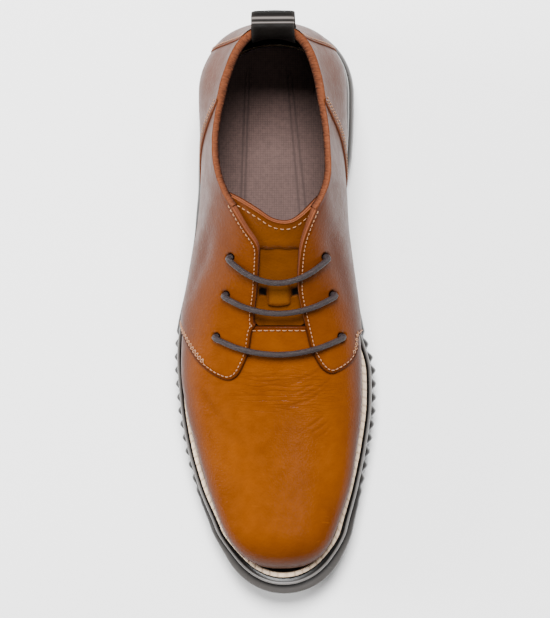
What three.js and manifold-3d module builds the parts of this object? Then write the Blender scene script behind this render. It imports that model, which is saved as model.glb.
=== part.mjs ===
// Leather chukka boot for the right foot, standing empty on its sole.
// Millimetres, +Z up. The toe points along -Y, the heel along +Y, the inner side of the foot is +X.
// The origin is on the floor under the middle of the sole's length and width.
import * as THREE from "three";
import { mergeVertices } from "three/addons/utils/BufferGeometryUtils.js";
import Module from "manifold-3d";

const wasm = await Module();
wasm.setup();

// Driving sizes
const SOLE_LENGTH = 301; // toe bumper to heel flare
const SOLE_WIDTH = 108; // widest, across the ribs at the ball
const TOE_SEAT = 27; // top of the sole above the floor at the toe
const BALL_SEAT = 23; // the same at the ball
const HEEL_SEAT = 33; // the same at the heel
const TOE_SPRING = 10.5; // underside of the toe tip above the floor
const ARCH_RELIEF = 6; // underside of the waist above the floor
const TREAD = 6; // thickness of the outsole with its lugs
const GROOVE_DEPTH = 3;
const GROOVE_WIDTH = 3.2;
const RIB_DEPTH = 2.2;
const RIB_PITCH = 7.2;
const WELT = 2.4;
const FOOTBED = 4.2;
const INSTEP_LIFT = 88; // ridge of the instep above the welt where the collar opens
const BACK_LIFT = 77; // back of the collar above the welt
const COLLAR_DIP = 12; // how far the collar sinks at the ankle
const WALL = 2.1; // vamp leather with its lining
const QUARTER_LAY = 1.2; // the quarters lie this much over the vamp
const COUNTER_LAY = 0.9; // the heel counter lies this much over the quarters
const TONGUE_THICK = 2.6;
const KEEPER_THICK = 1.2;
const LACE_RADIUS = 1.5;
const HOLE_RADIUS = 2.3;
const LOOP_WIDTH = 21;
const LOOP_THICK = 1.7;
const LOOP_STAND = 7.5; // pull loop beyond the collar
const LOOP_TAIL = 16; // pull loop sewn down below the collar
const LOOP_RISE = 6.5; // pull loop above the collar
const GAP = 0.3; // air between pieces that meet
const SHEET_GAP = 0.4; // the same between curved sheets
const FOOTBED_GAP = 0.9; // the footbed drops in loosely

// Places along the boot are shares of the sole's length from the toe; widths are shares of the sole's width.
const along = (share) => (share - 0.5) * SOLE_LENGTH;

// Outermost outline of the sole: middle line and half width before the ends are rounded off
const SOLE_PLAN = [
  { at: 0.0, middle: 0.037, half: 0.324 },
  { at: 0.06, middle: 0.037, half: 0.324 },
  { at: 0.115, middle: 0.028, half: 0.354 },
  { at: 0.188, middle: 0.018, half: 0.415 },
  { at: 0.261, middle: 0.01, half: 0.463 },
  { at: 0.334, middle: 0.006, half: 0.491 },
  { at: 0.389, middle: -0.001, half: 0.496 },
  { at: 0.467, middle: -0.024, half: 0.461 },
  { at: 0.571, middle: -0.025, half: 0.397 },
  { at: 0.645, middle: -0.022, half: 0.369 },
  { at: 0.7, middle: -0.016, half: 0.364 },
  { at: 0.772, middle: 0.003, half: 0.378 },
  { at: 0.846, middle: 0.011, half: 0.379 },
  { at: 1.0, middle: 0.014, half: 0.376 },
];
const TOE_ROUND = { reach: 0.116, power: 2.0 };
const HEEL_ROUND = { reach: 0.13, power: 2.25 };

// How far the top flange and the welt stand back from the outermost outline, in mm
const LEDGES = [
  { at: 0.0, flange: 7.2, welt: 10.0 },
  { at: 0.115, flange: 4.0, welt: 6.9 },
  { at: 0.19, flange: 2.6, welt: 5.4 },
  { at: 0.33, flange: 2.4, welt: 5.1 },
  { at: 0.6, flange: 2.2, welt: 4.8 },
  { at: 1.0, flange: 2.6, welt: 5.0 },
];

// Widest outline of the upper, and how far its foot is tucked in under it
const LAST_PLAN = [
  { at: 0.053, middle: 0.043, half: 0.247, tuck: 0.98 },
  { at: 0.08, middle: 0.038, half: 0.254, tuck: 0.98 },
  { at: 0.115, middle: 0.031, half: 0.275, tuck: 0.97 },
  { at: 0.151, middle: 0.028, half: 0.31, tuck: 0.96 },
  { at: 0.188, middle: 0.026, half: 0.345, tuck: 0.95 },
  { at: 0.261, middle: 0.012, half: 0.391, tuck: 0.95 },
  { at: 0.334, middle: -0.005, half: 0.427, tuck: 0.95 },
  { at: 0.389, middle: -0.018, half: 0.434, tuck: 0.94 },
  { at: 0.48, middle: -0.018, half: 0.422, tuck: 0.91 },
  { at: 0.562, middle: -0.008, half: 0.383, tuck: 0.88 },
  { at: 0.676, middle: 0.005, half: 0.342, tuck: 0.89 },
  { at: 0.766, middle: 0.01, half: 0.329, tuck: 0.93 },
  { at: 0.866, middle: 0.007, half: 0.331, tuck: 0.95 },
  { at: 0.974, middle: 0.01, half: 0.324, tuck: 0.95 },
];
const LAST_TOE = { at: 0.053, reach: 0.086, power: 2.4 };
const LAST_HEEL = { reach: 0.11, power: 2.25 };

// Ridge of the upper above the welt as a share of the instep's lift, where the ridge stands
// sideways, and how much of its width each section keeps at the collar
const RIDGE = [
  { at: 0.053, lift: 0.24, middle: 0.043, keep: 1.0, power: 2.3 },
  { at: 0.128, lift: 0.266, middle: 0.038, keep: 1.0, power: 2.3 },
  { at: 0.188, lift: 0.307, middle: 0.036, keep: 1.0, power: 2.15 },
  { at: 0.261, lift: 0.364, middle: 0.038, keep: 1.0, power: 2.05 },
  { at: 0.334, lift: 0.432, middle: 0.044, keep: 1.0, power: 2.0 },
  { at: 0.39, lift: 0.497, middle: 0.05, keep: 1.0, power: 2.0 },
  { at: 0.463, lift: 0.6, middle: 0.053, keep: 1.0, power: 2.0 },
  { at: 0.5, lift: 0.67, middle: 0.055, keep: 1.0, power: 2.0 },
  { at: 0.566, lift: 0.833, middle: 0.058, keep: 1.0, power: 2.0 },
  { at: 0.626, lift: 0.992, middle: 0.055, keep: 1.0, power: 2.0 },
  { at: 0.699, lift: 1.227, middle: 0.046, keep: 0.97, power: 2.0 },
  { at: 0.766, lift: 1.534, middle: 0.03, keep: 0.88, power: 2.0 },
  { at: 0.806, lift: 1.8, middle: 0.03, keep: 0.79, power: 2.0 },
  { at: 0.85, lift: 2.1, middle: 0.035, keep: 0.69, power: 2.0 },
  { at: 0.89, lift: 2.4, middle: 0.041, keep: 0.65, power: 2.0 },
  { at: 0.974, lift: 2.7, middle: 0.048, keep: 0.69, power: 2.0 },
];
const RIDGE_TOE = { reach: 0.073, power: 2.2 };

// Back of the heel: its place along the boot at a share of the collar's lift
const BACK = [
  { rise: 0.0, at: 0.9625 },
  { rise: 0.14, at: 0.9715 },
  { rise: 0.28, at: 0.973 },
  { rise: 0.5, at: 0.967 },
  { rise: 0.72, at: 0.955 },
  { rise: 0.9, at: 0.946 },
  { rise: 1.0, at: 0.944 },
  { rise: 1.1, at: 0.944 },
];

// Loops of the upper from its foot to its collar: how far round the ridge each starts, how high it ends at the back
const LOOPS = [
  { ridge: 0.0, back: 0.0 },
  { ridge: 0.022, back: 0.05 },
  { ridge: 0.05, back: 0.1 },
  { ridge: 0.08, back: 0.155 },
  { ridge: 0.115, back: 0.21 },
  { ridge: 0.155, back: 0.27 },
  { ridge: 0.205, back: 0.33 },
  { ridge: 0.265, back: 0.39 },
  { ridge: 0.335, back: 0.45 },
  { ridge: 0.41, back: 0.51 },
  { ridge: 0.49, back: 0.57 },
  { ridge: 0.57, back: 0.63 },
  { ridge: 0.65, back: 0.69 },
  { ridge: 0.73, back: 0.75 },
  { ridge: 0.81, back: 0.82 },
  { ridge: 0.89, back: 0.89 },
  { ridge: 0.95, back: 0.95 },
  { ridge: 1.0, back: 1.0 },
  { ridge: 1.035, back: 1.06 },
];
const COLLAR_LOOP = LOOPS.length - 2;
const LOOP_POINTS = 52;

// Throat between the facings, from the vamp's top edge to the collar
const THROAT = [
  { at: 0.4632, lateral: -0.0685, medial: 0.173 },
  { at: 0.485, lateral: -0.066, medial: 0.161 },
  { at: 0.517, lateral: -0.05, medial: 0.1445 },
  { at: 0.5425, lateral: -0.041, medial: 0.1435 },
  { at: 0.569, lateral: -0.0325, medial: 0.15 },
  { at: 0.5945, lateral: -0.0325, medial: 0.161 },
  { at: 0.621, lateral: -0.081, medial: 0.186 },
  { at: 0.646, lateral: -0.122, medial: 0.217 },
  { at: 0.676, lateral: -0.17, medial: 0.252 },
];

// Front edge of each quarter below the throat: down the facing, round the tab and out to the side
const LATERAL_TAB = [
  { at: 0.4545, across: -0.0796 },
  { at: 0.4243, across: -0.0944 },
  { at: 0.4023, across: -0.12 },
  { at: 0.384, across: -0.15 },
  { at: 0.3757, across: -0.191 },
  { at: 0.3804, across: -0.241 },
  { at: 0.3914, across: -0.292 },
  { at: 0.4076, across: -0.343 },
  { at: 0.428, across: -0.384 },
  { at: 0.451, across: -0.42 },
  { at: 0.477, across: -0.47 },
  { at: 0.49, across: -0.65 },
];
const MEDIAL_TAB = [
  { at: 0.4545, across: 0.178 },
  { at: 0.4272, across: 0.196 },
  { at: 0.4076, across: 0.222 },
  { at: 0.3937, across: 0.249 },
  { at: 0.387, across: 0.287 },
  { at: 0.3937, across: 0.332 },
  { at: 0.4076, across: 0.38 },
  { at: 0.428, across: 0.407 },
  { at: 0.456, across: 0.43 },
  { at: 0.472, across: 0.65 },
];

// Lace crossings: both holes and the lowest point between them
const CROSSINGS = [
  { name: "lace_bar_1", lateral: -0.16, medial: 0.264, holeAt: 0.578, middleAt: 0.541 },
  { name: "lace_bar_2", lateral: -0.192, medial: 0.295, holeAt: 0.518, middleAt: 0.491 },
  { name: "lace_bar_3", lateral: -0.245, medial: 0.331, holeAt: 0.449, middleAt: 0.422 },
];

// Transverse grooves of the tread
const GROOVES = [0.1, 0.145, 0.19, 0.235, 0.28, 0.325, 0.375, 0.425, 0.475, 0.775, 0.82, 0.865, 0.91, 0.95];

// Tables

const clamp01 = (t) => Math.min(1, Math.max(0, t));
const smooth = (t) => clamp01(t) ** 2 * (3 - 2 * clamp01(t));
const mix = (a, b, t) => a + (b - a) * t;

// Value of one column at a place, along a smooth curve through the rows
function read(rows, column, place, key = "at") {
  const last = rows.length - 1;
  if (place <= rows[0][key]) return rows[0][column];
  if (place >= rows[last][key]) return rows[last][column];
  let i = 0;
  while (place > rows[i + 1][key]) i += 1;
  const slope = (a, b) => (rows[b][column] - rows[a][column]) / (rows[b][key] - rows[a][key]);
  const tangent = (k) => {
    if (k === 0 || k === last) return 0;
    const before = slope(k - 1, k);
    const after = slope(k, k + 1);
    return before * after <= 0 ? 0 : (2 * before * after) / (before + after);
  };
  const span = rows[i + 1][key] - rows[i][key];
  const t = (place - rows[i][key]) / span;
  const a = rows[i][column];
  const b = rows[i + 1][column];
  return (
    a * (1 + 2 * t) * (1 - t) ** 2 +
    b * t * t * (3 - 2 * t) +
    span * (tangent(i) * t * (1 - t) ** 2 - tangent(i + 1) * t * t * (1 - t))
  );
}
const share = (y) => y / SOLE_LENGTH + 0.5;

// Share of the full width left near a rounded end, a distance in from it
const rounded = (distance, reach, power) => (1 - (1 - clamp01(distance / reach)) ** power) ** (1 / power);

// Heights that run along the boot

const SEATS = [
  { at: 0.0, top: TOE_SEAT },
  { at: 0.33, top: BALL_SEAT },
  { at: 0.5, top: mix(BALL_SEAT, HEEL_SEAT, 0.22) },
  { at: 0.66, top: mix(BALL_SEAT, HEEL_SEAT, 0.72) },
  { at: 0.82, top: HEEL_SEAT },
  { at: 1.0, top: HEEL_SEAT },
];
const soleTop = (y) => read(SEATS, "top", share(y));
const weltTop = (y) => soleTop(y) + GAP + WELT;
const foot = (y) => weltTop(y) + GAP; // where the upper starts

const SPRING_FROM = 0.26; // the toe starts to rise here
const WAIST = { from: 0.51, to: 0.715, ease: 0.055 };
const HEEL_BEVEL = { from: 0.955, rise: 2.4 };
function soleBottom(y) {
  const at = share(y);
  const toe = TOE_SPRING * clamp01((SPRING_FROM - at) / SPRING_FROM) ** 1.9;
  const waist = ARCH_RELIEF * smooth((at - WAIST.from) / WAIST.ease) * smooth((WAIST.to - at) / WAIST.ease);
  const heel = HEEL_BEVEL.rise * clamp01((at - HEEL_BEVEL.from) / (1 - HEEL_BEVEL.from)) ** 2;
  return toe + waist + heel;
}

// Sole outline moved in by a distance: side is -1 for the outer and 1 for the inner side of the foot
function soleEdge(side, y, inset, toeInset = inset, heelInset = inset) {
  const at = share(y);
  const half = read(SOLE_PLAN, "half", at) * SOLE_WIDTH - inset;
  const toe = rounded(y - along(0) - toeInset, TOE_ROUND.reach * SOLE_LENGTH - toeInset, TOE_ROUND.power);
  const heel = rounded(along(1) - heelInset - y, HEEL_ROUND.reach * SOLE_LENGTH - heelInset, HEEL_ROUND.power);
  return read(SOLE_PLAN, "middle", at) * SOLE_WIDTH + side * half * toe * heel;
}

// The upper's own function

const TOE_TIP = along(LAST_TOE.at);
const TUCK_RISE = 0.3; // the upper is widest at this share of its ridge's lift
const TUCK_MOST = 14;
const SHAFT_FROM = 26; // above the welt the shaft starts to narrow

const ridgeLift = (y) =>
  INSTEP_LIFT * read(RIDGE, "lift", share(y)) * rounded(y - TOE_TIP, RIDGE_TOE.reach * SOLE_LENGTH, RIDGE_TOE.power);
const backOf = (lift) => along(read(BACK, "at", lift / BACK_LIFT, "rise"));
const wideLift = (y) => Math.min(TUCK_MOST, TUCK_RISE * ridgeLift(y));

// Middle line and half width of the upper at a place along the boot and a height above the welt
function lastAt(y, lift, inset = 0) {
  const at = share(y);
  const ridge = ridgeLift(y);
  const wide = wideLift(y);
  const up = clamp01((lift - wide) / Math.max(ridge - wide, 0.001));
  const power = read(RIDGE, "power", at);
  const arch = (1 - up ** power) ** (1 / power);
  const toCollar = smooth((lift - SHAFT_FROM) / (BACK_LIFT - SHAFT_FROM));
  const keep = mix(1, read(RIDGE, "keep", at), toCollar);
  const low = 1 - clamp01(lift / Math.max(wide, 0.001));
  const tuck = 1 - (1 - read(LAST_PLAN, "tuck", at)) * low * low;
  const toe = rounded(y - TOE_TIP - inset, LAST_TOE.reach * SOLE_LENGTH - inset, LAST_TOE.power);
  const heel = rounded(backOf(lift) - inset - y, LAST_HEEL.reach * SOLE_LENGTH - inset, LAST_HEEL.power);
  const half = (read(LAST_PLAN, "half", at) * SOLE_WIDTH * tuck - inset) * arch * keep * toe * heel;
  const sideways = clamp01(lift / Math.max(Math.min(ridge, INSTEP_LIFT), 0.001)) ** 1.5;
  const middle = mix(read(LAST_PLAN, "middle", at), read(RIDGE, "middle", at), sideways) * SOLE_WIDTH;
  return { middle, half };
}

// Where the foot of the upper runs, moved in by a distance
const footEdge = (side, y, inset) => {
  const { middle, half } = lastAt(y, 0, inset);
  return middle + side * half;
};

// Height of the upper's face over a place in plan
function faceOver(x, y) {
  let low = wideLift(y);
  let high = ridgeLift(y);
  for (let i = 0; i < 40; i += 1) {
    const lift = (low + high) / 2;
    const { middle, half } = lastAt(y, lift);
    if (half > Math.abs(x - middle)) low = lift;
    else high = lift;
  }
  return foot(y) + low;
}

// Ridge of the upper as a path, to find a place at a share of its length
const RIDGE_STEPS = 400;
const COLLAR_FRONT = 0.6265; // where the ridge reaches the collar
const RIDGE_END = 0.7;
const ridgePath = [];
for (let i = 0; i <= RIDGE_STEPS; i += 1) {
  const t = i / RIDGE_STEPS;
  const y = mix(TOE_TIP, along(RIDGE_END), t * t * (2 - t));
  ridgePath.push({ y, z: foot(y) + ridgeLift(y), run: 0 });
  if (i) {
    const before = ridgePath[i - 1];
    ridgePath[i].run = before.run + Math.hypot(y - before.y, ridgePath[i].z - before.z);
  }
}
const collarRun = ridgePath.find((p) => p.y >= along(COLLAR_FRONT)).run;
function onRidge(part) {
  const run = part * collarRun;
  const i = Math.max(1, ridgePath.findIndex((p) => p.run >= run));
  const a = ridgePath[i - 1];
  const b = ridgePath[i];
  return mix(a.y, b.y, (run - a.run) / (b.run - a.run));
}

// One loop round the upper; its first point is on the ridge and its middle point on the heel
function loopOf({ ridge, back }) {
  const front = onRidge(ridge);
  const frontLift = ridge === 0 ? 0 : ridgeLift(front);
  const backLift = back * BACK_LIFT;
  const rear = backOf(backLift);
  const points = [];
  for (let j = 0; j < LOOP_POINTS; j += 1) {
    const turn = (2 * Math.PI * j) / LOOP_POINTS;
    const s = (1 - Math.cos(turn)) / 2;
    const y = mix(front, rear, s);
    const dip = COLLAR_DIP * back ** 3 * Math.sin(Math.PI * s);
    const lift = mix(frontLift, backLift, s) - dip;
    const { middle, half } = lastAt(y, lift);
    const end = j === 0 || j === LOOP_POINTS / 2;
    points.push(new THREE.Vector3(middle + (end ? 0 : Math.sign(Math.sin(turn)) * half), y, foot(y) + lift));
  }
  return points;
}
const skin = LOOPS.map(loopOf);
const skinNormals = skin.map((loop, k) =>
  loop.map((p, j) => {
    const up = skin[Math.min(k + 1, skin.length - 1)][j].clone().sub(skin[Math.max(k - 1, 0)][j]);
    const round = loop[(j + 1) % LOOP_POINTS].clone().sub(loop[(j + LOOP_POINTS - 1) % LOOP_POINTS]);
    const normal = round.cross(up);
    if (k === 0) normal.z = 0;
    return normal.normalize();
  }),
);

// Solids

function solidFrom(points, faces) {
  const mesh = new wasm.Mesh({
    numProp: 3,
    vertProperties: new Float32Array(points.flatMap((p) => [p.x, p.y, p.z])),
    triVerts: new Uint32Array(faces.flat()),
  });
  return new wasm.Manifold(mesh);
}

// Solid from a three.js geometry without seams
function solidOf(geometry) {
  geometry.deleteAttribute("normal");
  geometry.deleteAttribute("uv");
  const merged = mergeVertices(geometry, 1e-4);
  const mesh = new wasm.Mesh({
    numProp: 3,
    vertProperties: new Float32Array(merged.attributes.position.array),
    triVerts: new Uint32Array(merged.index.array),
  });
  return new wasm.Manifold(mesh);
}

function geometryOf(solid) {
  const mesh = solid.getMesh();
  const geometry = new THREE.BufferGeometry();
  geometry.setAttribute("position", new THREE.BufferAttribute(new Float32Array(mesh.vertProperties), 3));
  geometry.setIndex(new THREE.BufferAttribute(new Uint32Array(mesh.triVerts), 1));
  geometry.computeVertexNormals();
  return geometry;
}

// Closed band between two distances from the upper's face, over the loops from one to another
function shell(outer, inner, from, to, trim = 0) {
  const rows = [];
  for (let k = from; k <= to; k += 1) {
    const toward = k === from ? k + 1 : k - 1;
    const edge = trim > 0 && (k === from || k === to);
    rows.push(
      skin[k].map((p, j) => {
        const base = p.clone();
        if (edge) base.add(skin[toward][j].clone().sub(p).setLength(trim));
        return { base, normal: skinNormals[k][j] };
      }),
    );
  }
  const place = (offset) => rows.map((row) => row.map(({ base, normal }) => base.clone().addScaledVector(normal, offset)));
  const points = [...place(outer).flat(), ...place(inner).flat()];
  const count = rows.length;
  const faces = [];
  const index = (face, k, j) => face * count * LOOP_POINTS + k * LOOP_POINTS + (j % LOOP_POINTS);
  const quad = (a, b, c, d) => faces.push([a, b, c], [a, c, d]);
  for (let j = 0; j < LOOP_POINTS; j += 1) {
    for (let k = 0; k < count - 1; k += 1) {
      quad(index(0, k, j), index(0, k, j + 1), index(0, k + 1, j + 1), index(0, k + 1, j));
      quad(index(1, k, j), index(1, k + 1, j), index(1, k + 1, j + 1), index(1, k, j + 1));
    }
    quad(index(0, count - 1, j), index(0, count - 1, j + 1), index(1, count - 1, j + 1), index(1, count - 1, j));
    quad(index(0, 0, j + 1), index(0, 0, j), index(1, 0, j), index(1, 0, j + 1));
  }
  return solidFrom(points, faces);
}

// Upright prism over an outline in plan
function prism(outline, bottom = 0, height = SOLE_LENGTH) {
  const shape = new THREE.Shape(outline.map(([x, y]) => new THREE.Vector2(x, y)));
  const geometry = new THREE.ExtrudeGeometry(shape, { depth: height, bevelEnabled: false });
  geometry.translate(0, 0, bottom);
  return solidOf(geometry);
}

function box(width, depth, height, x, y, z) {
  const geometry = new THREE.BoxGeometry(width, depth, height);
  geometry.translate(x, y, z);
  return solidOf(geometry);
}

// Stations along the sole: close at both rounded ends and two to each rib
const RIB_ZONE = { from: 0.145, full: 0.24, fade: 0.44, to: 0.475 };
const END_STEPS = 6;
const stations = [];
for (let i = 0; i < END_STEPS; i += 1) {
  stations.push({ s: TOE_ROUND.reach * (1 - Math.cos((Math.PI / 2) * (i / END_STEPS))), rib: 0 });
}
const ribStep = RIB_PITCH / 2 / SOLE_LENGTH;
const ribCount = 2 * Math.floor((RIB_ZONE.to - TOE_ROUND.reach) / (2 * ribStep));
for (let i = 0; i <= ribCount; i += 1) {
  const s = TOE_ROUND.reach + i * ribStep;
  const fade = smooth((s - RIB_ZONE.from) / (RIB_ZONE.full - RIB_ZONE.from)) * smooth((RIB_ZONE.to - s) / (RIB_ZONE.to - RIB_ZONE.fade));
  stations.push({ s, rib: i % 2 ? fade : 0 });
}
const REAR_STEPS = 13;
const rearFrom = stations[stations.length - 1].s;
const rearTo = 1 - HEEL_ROUND.reach;
for (let i = 1; i < REAR_STEPS; i += 1) stations.push({ s: mix(rearFrom, rearTo, i / REAR_STEPS), rib: 0 });
for (let i = 0; i <= END_STEPS; i += 1) {
  stations.push({ s: rearTo + HEEL_ROUND.reach * Math.sin((Math.PI / 2) * (i / END_STEPS)), rib: 0 });
}

// Stations of the smooth pieces: close at both ends
const SMOOTH_STEPS = 30;
const smoothStations = [];
for (let i = 0; i <= SMOOTH_STEPS; i += 1) smoothStations.push({ s: (1 - Math.cos((Math.PI * i) / SMOOTH_STEPS)) / 2, rib: 0 });

// Ring of points along an edge: toe tip, inner side, heel, outer side
function ring({ toe, heel, edge, height, marks = smoothStations }) {
  const inner = [];
  const outer = [];
  marks.forEach(({ s, rib }, i) => {
    const y = mix(toe, heel, s);
    const end = i === 0 || i === marks.length - 1;
    const put = (side) => new THREE.Vector3(edge(end ? 0 : side, y, rib), y, height(y));
    inner.push(put(1));
    if (!end) outer.unshift(put(-1));
  });
  return [...inner, ...outer];
}

// Solid through rings that all have the same stations; open ones are closed by strips across
function loft(rings, closed = false) {
  const size = rings[0].length;
  const points = rings.flat();
  const faces = [];
  const index = (r, j) => (r % rings.length) * size + (j % size);
  const turns = closed ? rings.length : rings.length - 1;
  for (let r = 0; r < turns; r += 1) {
    for (let j = 0; j < size; j += 1) {
      faces.push([index(r, j), index(r, j + 1), index(r + 1, j + 1)], [index(r, j), index(r + 1, j + 1), index(r + 1, j)]);
    }
  }
  if (!closed) {
    const across = size / 2;
    const opposite = (i) => (i === 0 ? 0 : size - i);
    for (let i = 0; i < across; i += 1) {
      for (const [r, flip] of [[0, true], [rings.length - 1, false]]) {
        const a = index(r, i);
        const b = index(r, i + 1);
        const c = index(r, opposite(i + 1));
        const d = index(r, opposite(i));
        const strip = [];
        if (a !== d) strip.push([a, b, d]);
        if (b !== c) strip.push([b, c, d]);
        for (const face of strip) faces.push(flip ? face.reverse() : face);
      }
    }
  }
  return solidFrom(points, faces);
}

// Outsole
const outsoleTop = (y) => soleBottom(y) + TREAD;
function soleRing(inset, height, ribDepth = 0) {
  const insetAt = typeof inset === "function" ? inset : () => inset;
  return ring({
    toe: along(0) + insetAt(0),
    heel: along(1) - insetAt(1),
    edge: (side, y, rib) => soleEdge(side, y, insetAt(share(y)) + rib * ribDepth, insetAt(0), insetAt(1)),
    height,
    marks: stations,
  });
}
let outsole = loft([
  soleRing(3.6, soleBottom),
  soleRing(2.4, (y) => soleBottom(y) + 1.2),
  soleRing(2.0, outsoleTop),
]);
for (const at of GROOVES) {
  const y = along(at);
  const floor = soleBottom(y) + GROOVE_DEPTH;
  outsole = outsole.subtract(box(SOLE_WIDTH * 1.2, GROOVE_WIDTH, 2 * floor, 0, y, 0));
}
const CENTRE_GROOVES = [
  { from: 0.235, to: 0.475 },
  { from: 0.775, to: 0.91 },
];
for (const { from, to } of CENTRE_GROOVES) {
  const length = along(to) - along(from);
  outsole = outsole.subtract(box(GROOVE_WIDTH * 1.3, length, 2 * GROOVE_DEPTH, 0, along((from + to) / 2), 0));
}

// Midsole with its ribbed wall, undercut and flange
const midsoleBottom = (y) => outsoleTop(y) + GAP;
const wallAt = (rise) => (y) => mix(midsoleBottom(y), soleTop(y), rise);
const flangeAt = (at) => read(LEDGES, "flange", at);
const UNDERCUT = 1.4;
const midsole = loft([
  soleRing(2.6, wallAt(0)),
  soleRing(0, wallAt(0.26), RIB_DEPTH),
  soleRing(0.4, wallAt(0.6), RIB_DEPTH),
  soleRing((at) => flangeAt(at) + UNDERCUT, wallAt(0.74)),
  soleRing(flangeAt, wallAt(0.82)),
  soleRing((at) => flangeAt(at) + 0.2, wallAt(1)),
]);

// Welt: a strip that stands out round the forefoot and hides under the upper further back
const WELT_STRIP = { hold: 9, hide: 0.6, from: 0.47, to: 0.56 };
const WELT_TOE = along(0) + read(LEDGES, "welt", 0);
const weltOuter = (side, y) => {
  const ahead = soleEdge(side, y, read(LEDGES, "welt", share(y)), read(LEDGES, "welt", 0));
  const behind = footEdge(side, Math.max(y, TOE_TIP), WELT_STRIP.hide);
  return mix(ahead, behind, smooth((share(y) - WELT_STRIP.from) / (WELT_STRIP.to - WELT_STRIP.from)));
};
const footRing = (inset, height) =>
  ring({ toe: TOE_TIP + inset, heel: backOf(0) - inset, edge: (side, y) => footEdge(side, y, inset), height });
const weltRing = (height) => ring({ toe: WELT_TOE, heel: backOf(0) - WELT_STRIP.hide, edge: weltOuter, height });
const weltBottom = (y) => soleTop(y) + GAP;
const welt = loft(
  [weltRing(weltBottom), weltRing(weltTop), footRing(WALL + WELT_STRIP.hold, weltTop), footRing(WALL + WELT_STRIP.hold, weltBottom)],
  true,
);

// Insole, with a filler that reaches down inside the welt
const insole = loft([
  footRing(WALL + WELT_STRIP.hold + GAP, weltBottom),
  footRing(WALL + WELT_STRIP.hold + GAP, foot),
  footRing(WALL + FOOTBED_GAP, foot),
  footRing(WALL + FOOTBED_GAP + 0.4, (y) => foot(y) + FOOTBED),
]);

// Upper: vamp shell all round, the quarters and the counter as steps in its wall
const plan = (rows, column) => rows.map((row) => [row[column] * SOLE_WIDTH, along(row.at)]);
const throat = prism([...plan(THROAT, "lateral"), ...plan(THROAT, "medial").reverse()]);
const quarterArea = prism([
  ...plan(LATERAL_TAB, "across").reverse(),
  [THROAT[0].lateral * SOLE_WIDTH, along(THROAT[0].at)],
  [THROAT[0].medial * SOLE_WIDTH, along(THROAT[0].at)],
  ...plan(MEDIAL_TAB, "across"),
  [0.65 * SOLE_WIDTH, along(1.25)],
  [-0.65 * SOLE_WIDTH, along(1.25)],
]);
const COUNTER = { topAt: 0.85, footAt: 0.62 };
const counterSide = new THREE.Shape([
  new THREE.Vector2(along(COUNTER.footAt), 0),
  new THREE.Vector2(along(1.25), 0),
  new THREE.Vector2(along(1.25), foot(0) + 2 * INSTEP_LIFT),
  new THREE.Vector2(along(COUNTER.topAt) + (along(COUNTER.topAt) - along(COUNTER.footAt)), foot(0) + 2 * INSTEP_LIFT),
]);
const counterBlock = new THREE.ExtrudeGeometry(counterSide, { depth: 1.4 * SOLE_WIDTH, bevelEnabled: false });
counterBlock.translate(0, 0, -0.7 * SOLE_WIDTH);
counterBlock.applyMatrix4(new THREE.Matrix4().makeBasis(new THREE.Vector3(0, 1, 0), new THREE.Vector3(0, 0, 1), new THREE.Vector3(1, 0, 0)));
const counterArea = solidOf(counterBlock);

const SET_IN = WALL / 2; // laid pieces start inside the wall below them
let upper = shell(0, -WALL, 0, COLLAR_LOOP);
upper = upper.add(shell(QUARTER_LAY, -SET_IN, 0, COLLAR_LOOP, 0.3).intersect(quarterArea));
upper = upper.add(shell(QUARTER_LAY + COUNTER_LAY, -SET_IN, 0, COLLAR_LOOP, 0.8).intersect(counterArea));
upper = upper.subtract(throat);

// Point on the quarter's face over a place in plan, with the way out of it
const STEP = 0.5;
function onFace(x, y, off = 0) {
  const point = new THREE.Vector3(x, y, faceOver(x, y));
  const alongX = new THREE.Vector3(2 * STEP, 0, faceOver(x + STEP, y) - faceOver(x - STEP, y));
  const alongY = new THREE.Vector3(0, 2 * STEP, faceOver(x, y + STEP) - faceOver(x, y - STEP));
  const out = alongX.cross(alongY).normalize();
  return { point: point.addScaledVector(out, off), out };
}
const HOLE_REACH = 12;
for (const { lateral, medial, holeAt } of CROSSINGS) {
  for (const across of [lateral, medial]) {
    const { point, out } = onFace(across * SOLE_WIDTH, along(holeAt));
    const drill = new THREE.CylinderGeometry(HOLE_RADIUS, HOLE_RADIUS, HOLE_REACH, 12);
    drill.applyQuaternion(new THREE.Quaternion().setFromUnitVectors(new THREE.Vector3(0, 1, 0), out));
    drill.translate(point.x, point.y, point.z);
    upper = upper.subtract(solidOf(drill));
  }
}

// Tongue below the vamp and the facings
const TONGUE_PLAN = [
  { at: 0.395, lateral: -0.1, medial: 0.2 },
  { at: 0.5, lateral: -0.155, medial: 0.26 },
  { at: 0.62, lateral: -0.19, medial: 0.28 },
  { at: 0.7, lateral: -0.215, medial: 0.3 },
];
const TONGUE_TOP = WALL + SHEET_GAP;
const tongueArea = prism([...plan(TONGUE_PLAN, "lateral"), ...plan(TONGUE_PLAN, "medial").reverse()]);
const tongue = shell(-TONGUE_TOP, -TONGUE_TOP - TONGUE_THICK, 5, COLLAR_LOOP + 1).intersect(tongueArea);

// Lace keeper on the tongue
const KEEPER = { from: 0.504, to: 0.531, middle: 0.049, half: 0.056 };
const keeperArea = prism([
  [(KEEPER.middle - KEEPER.half) * SOLE_WIDTH, along(KEEPER.from)],
  [(KEEPER.middle + KEEPER.half) * SOLE_WIDTH, along(KEEPER.from)],
  [(KEEPER.middle + KEEPER.half) * SOLE_WIDTH, along(KEEPER.to)],
  [(KEEPER.middle - KEEPER.half) * SOLE_WIDTH, along(KEEPER.to)],
]);
const keeperFoot = TONGUE_TOP - GAP;
const keeper = shell(-keeperFoot + KEEPER_THICK, -keeperFoot, 5, COLLAR_LOOP).intersect(keeperArea);

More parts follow.
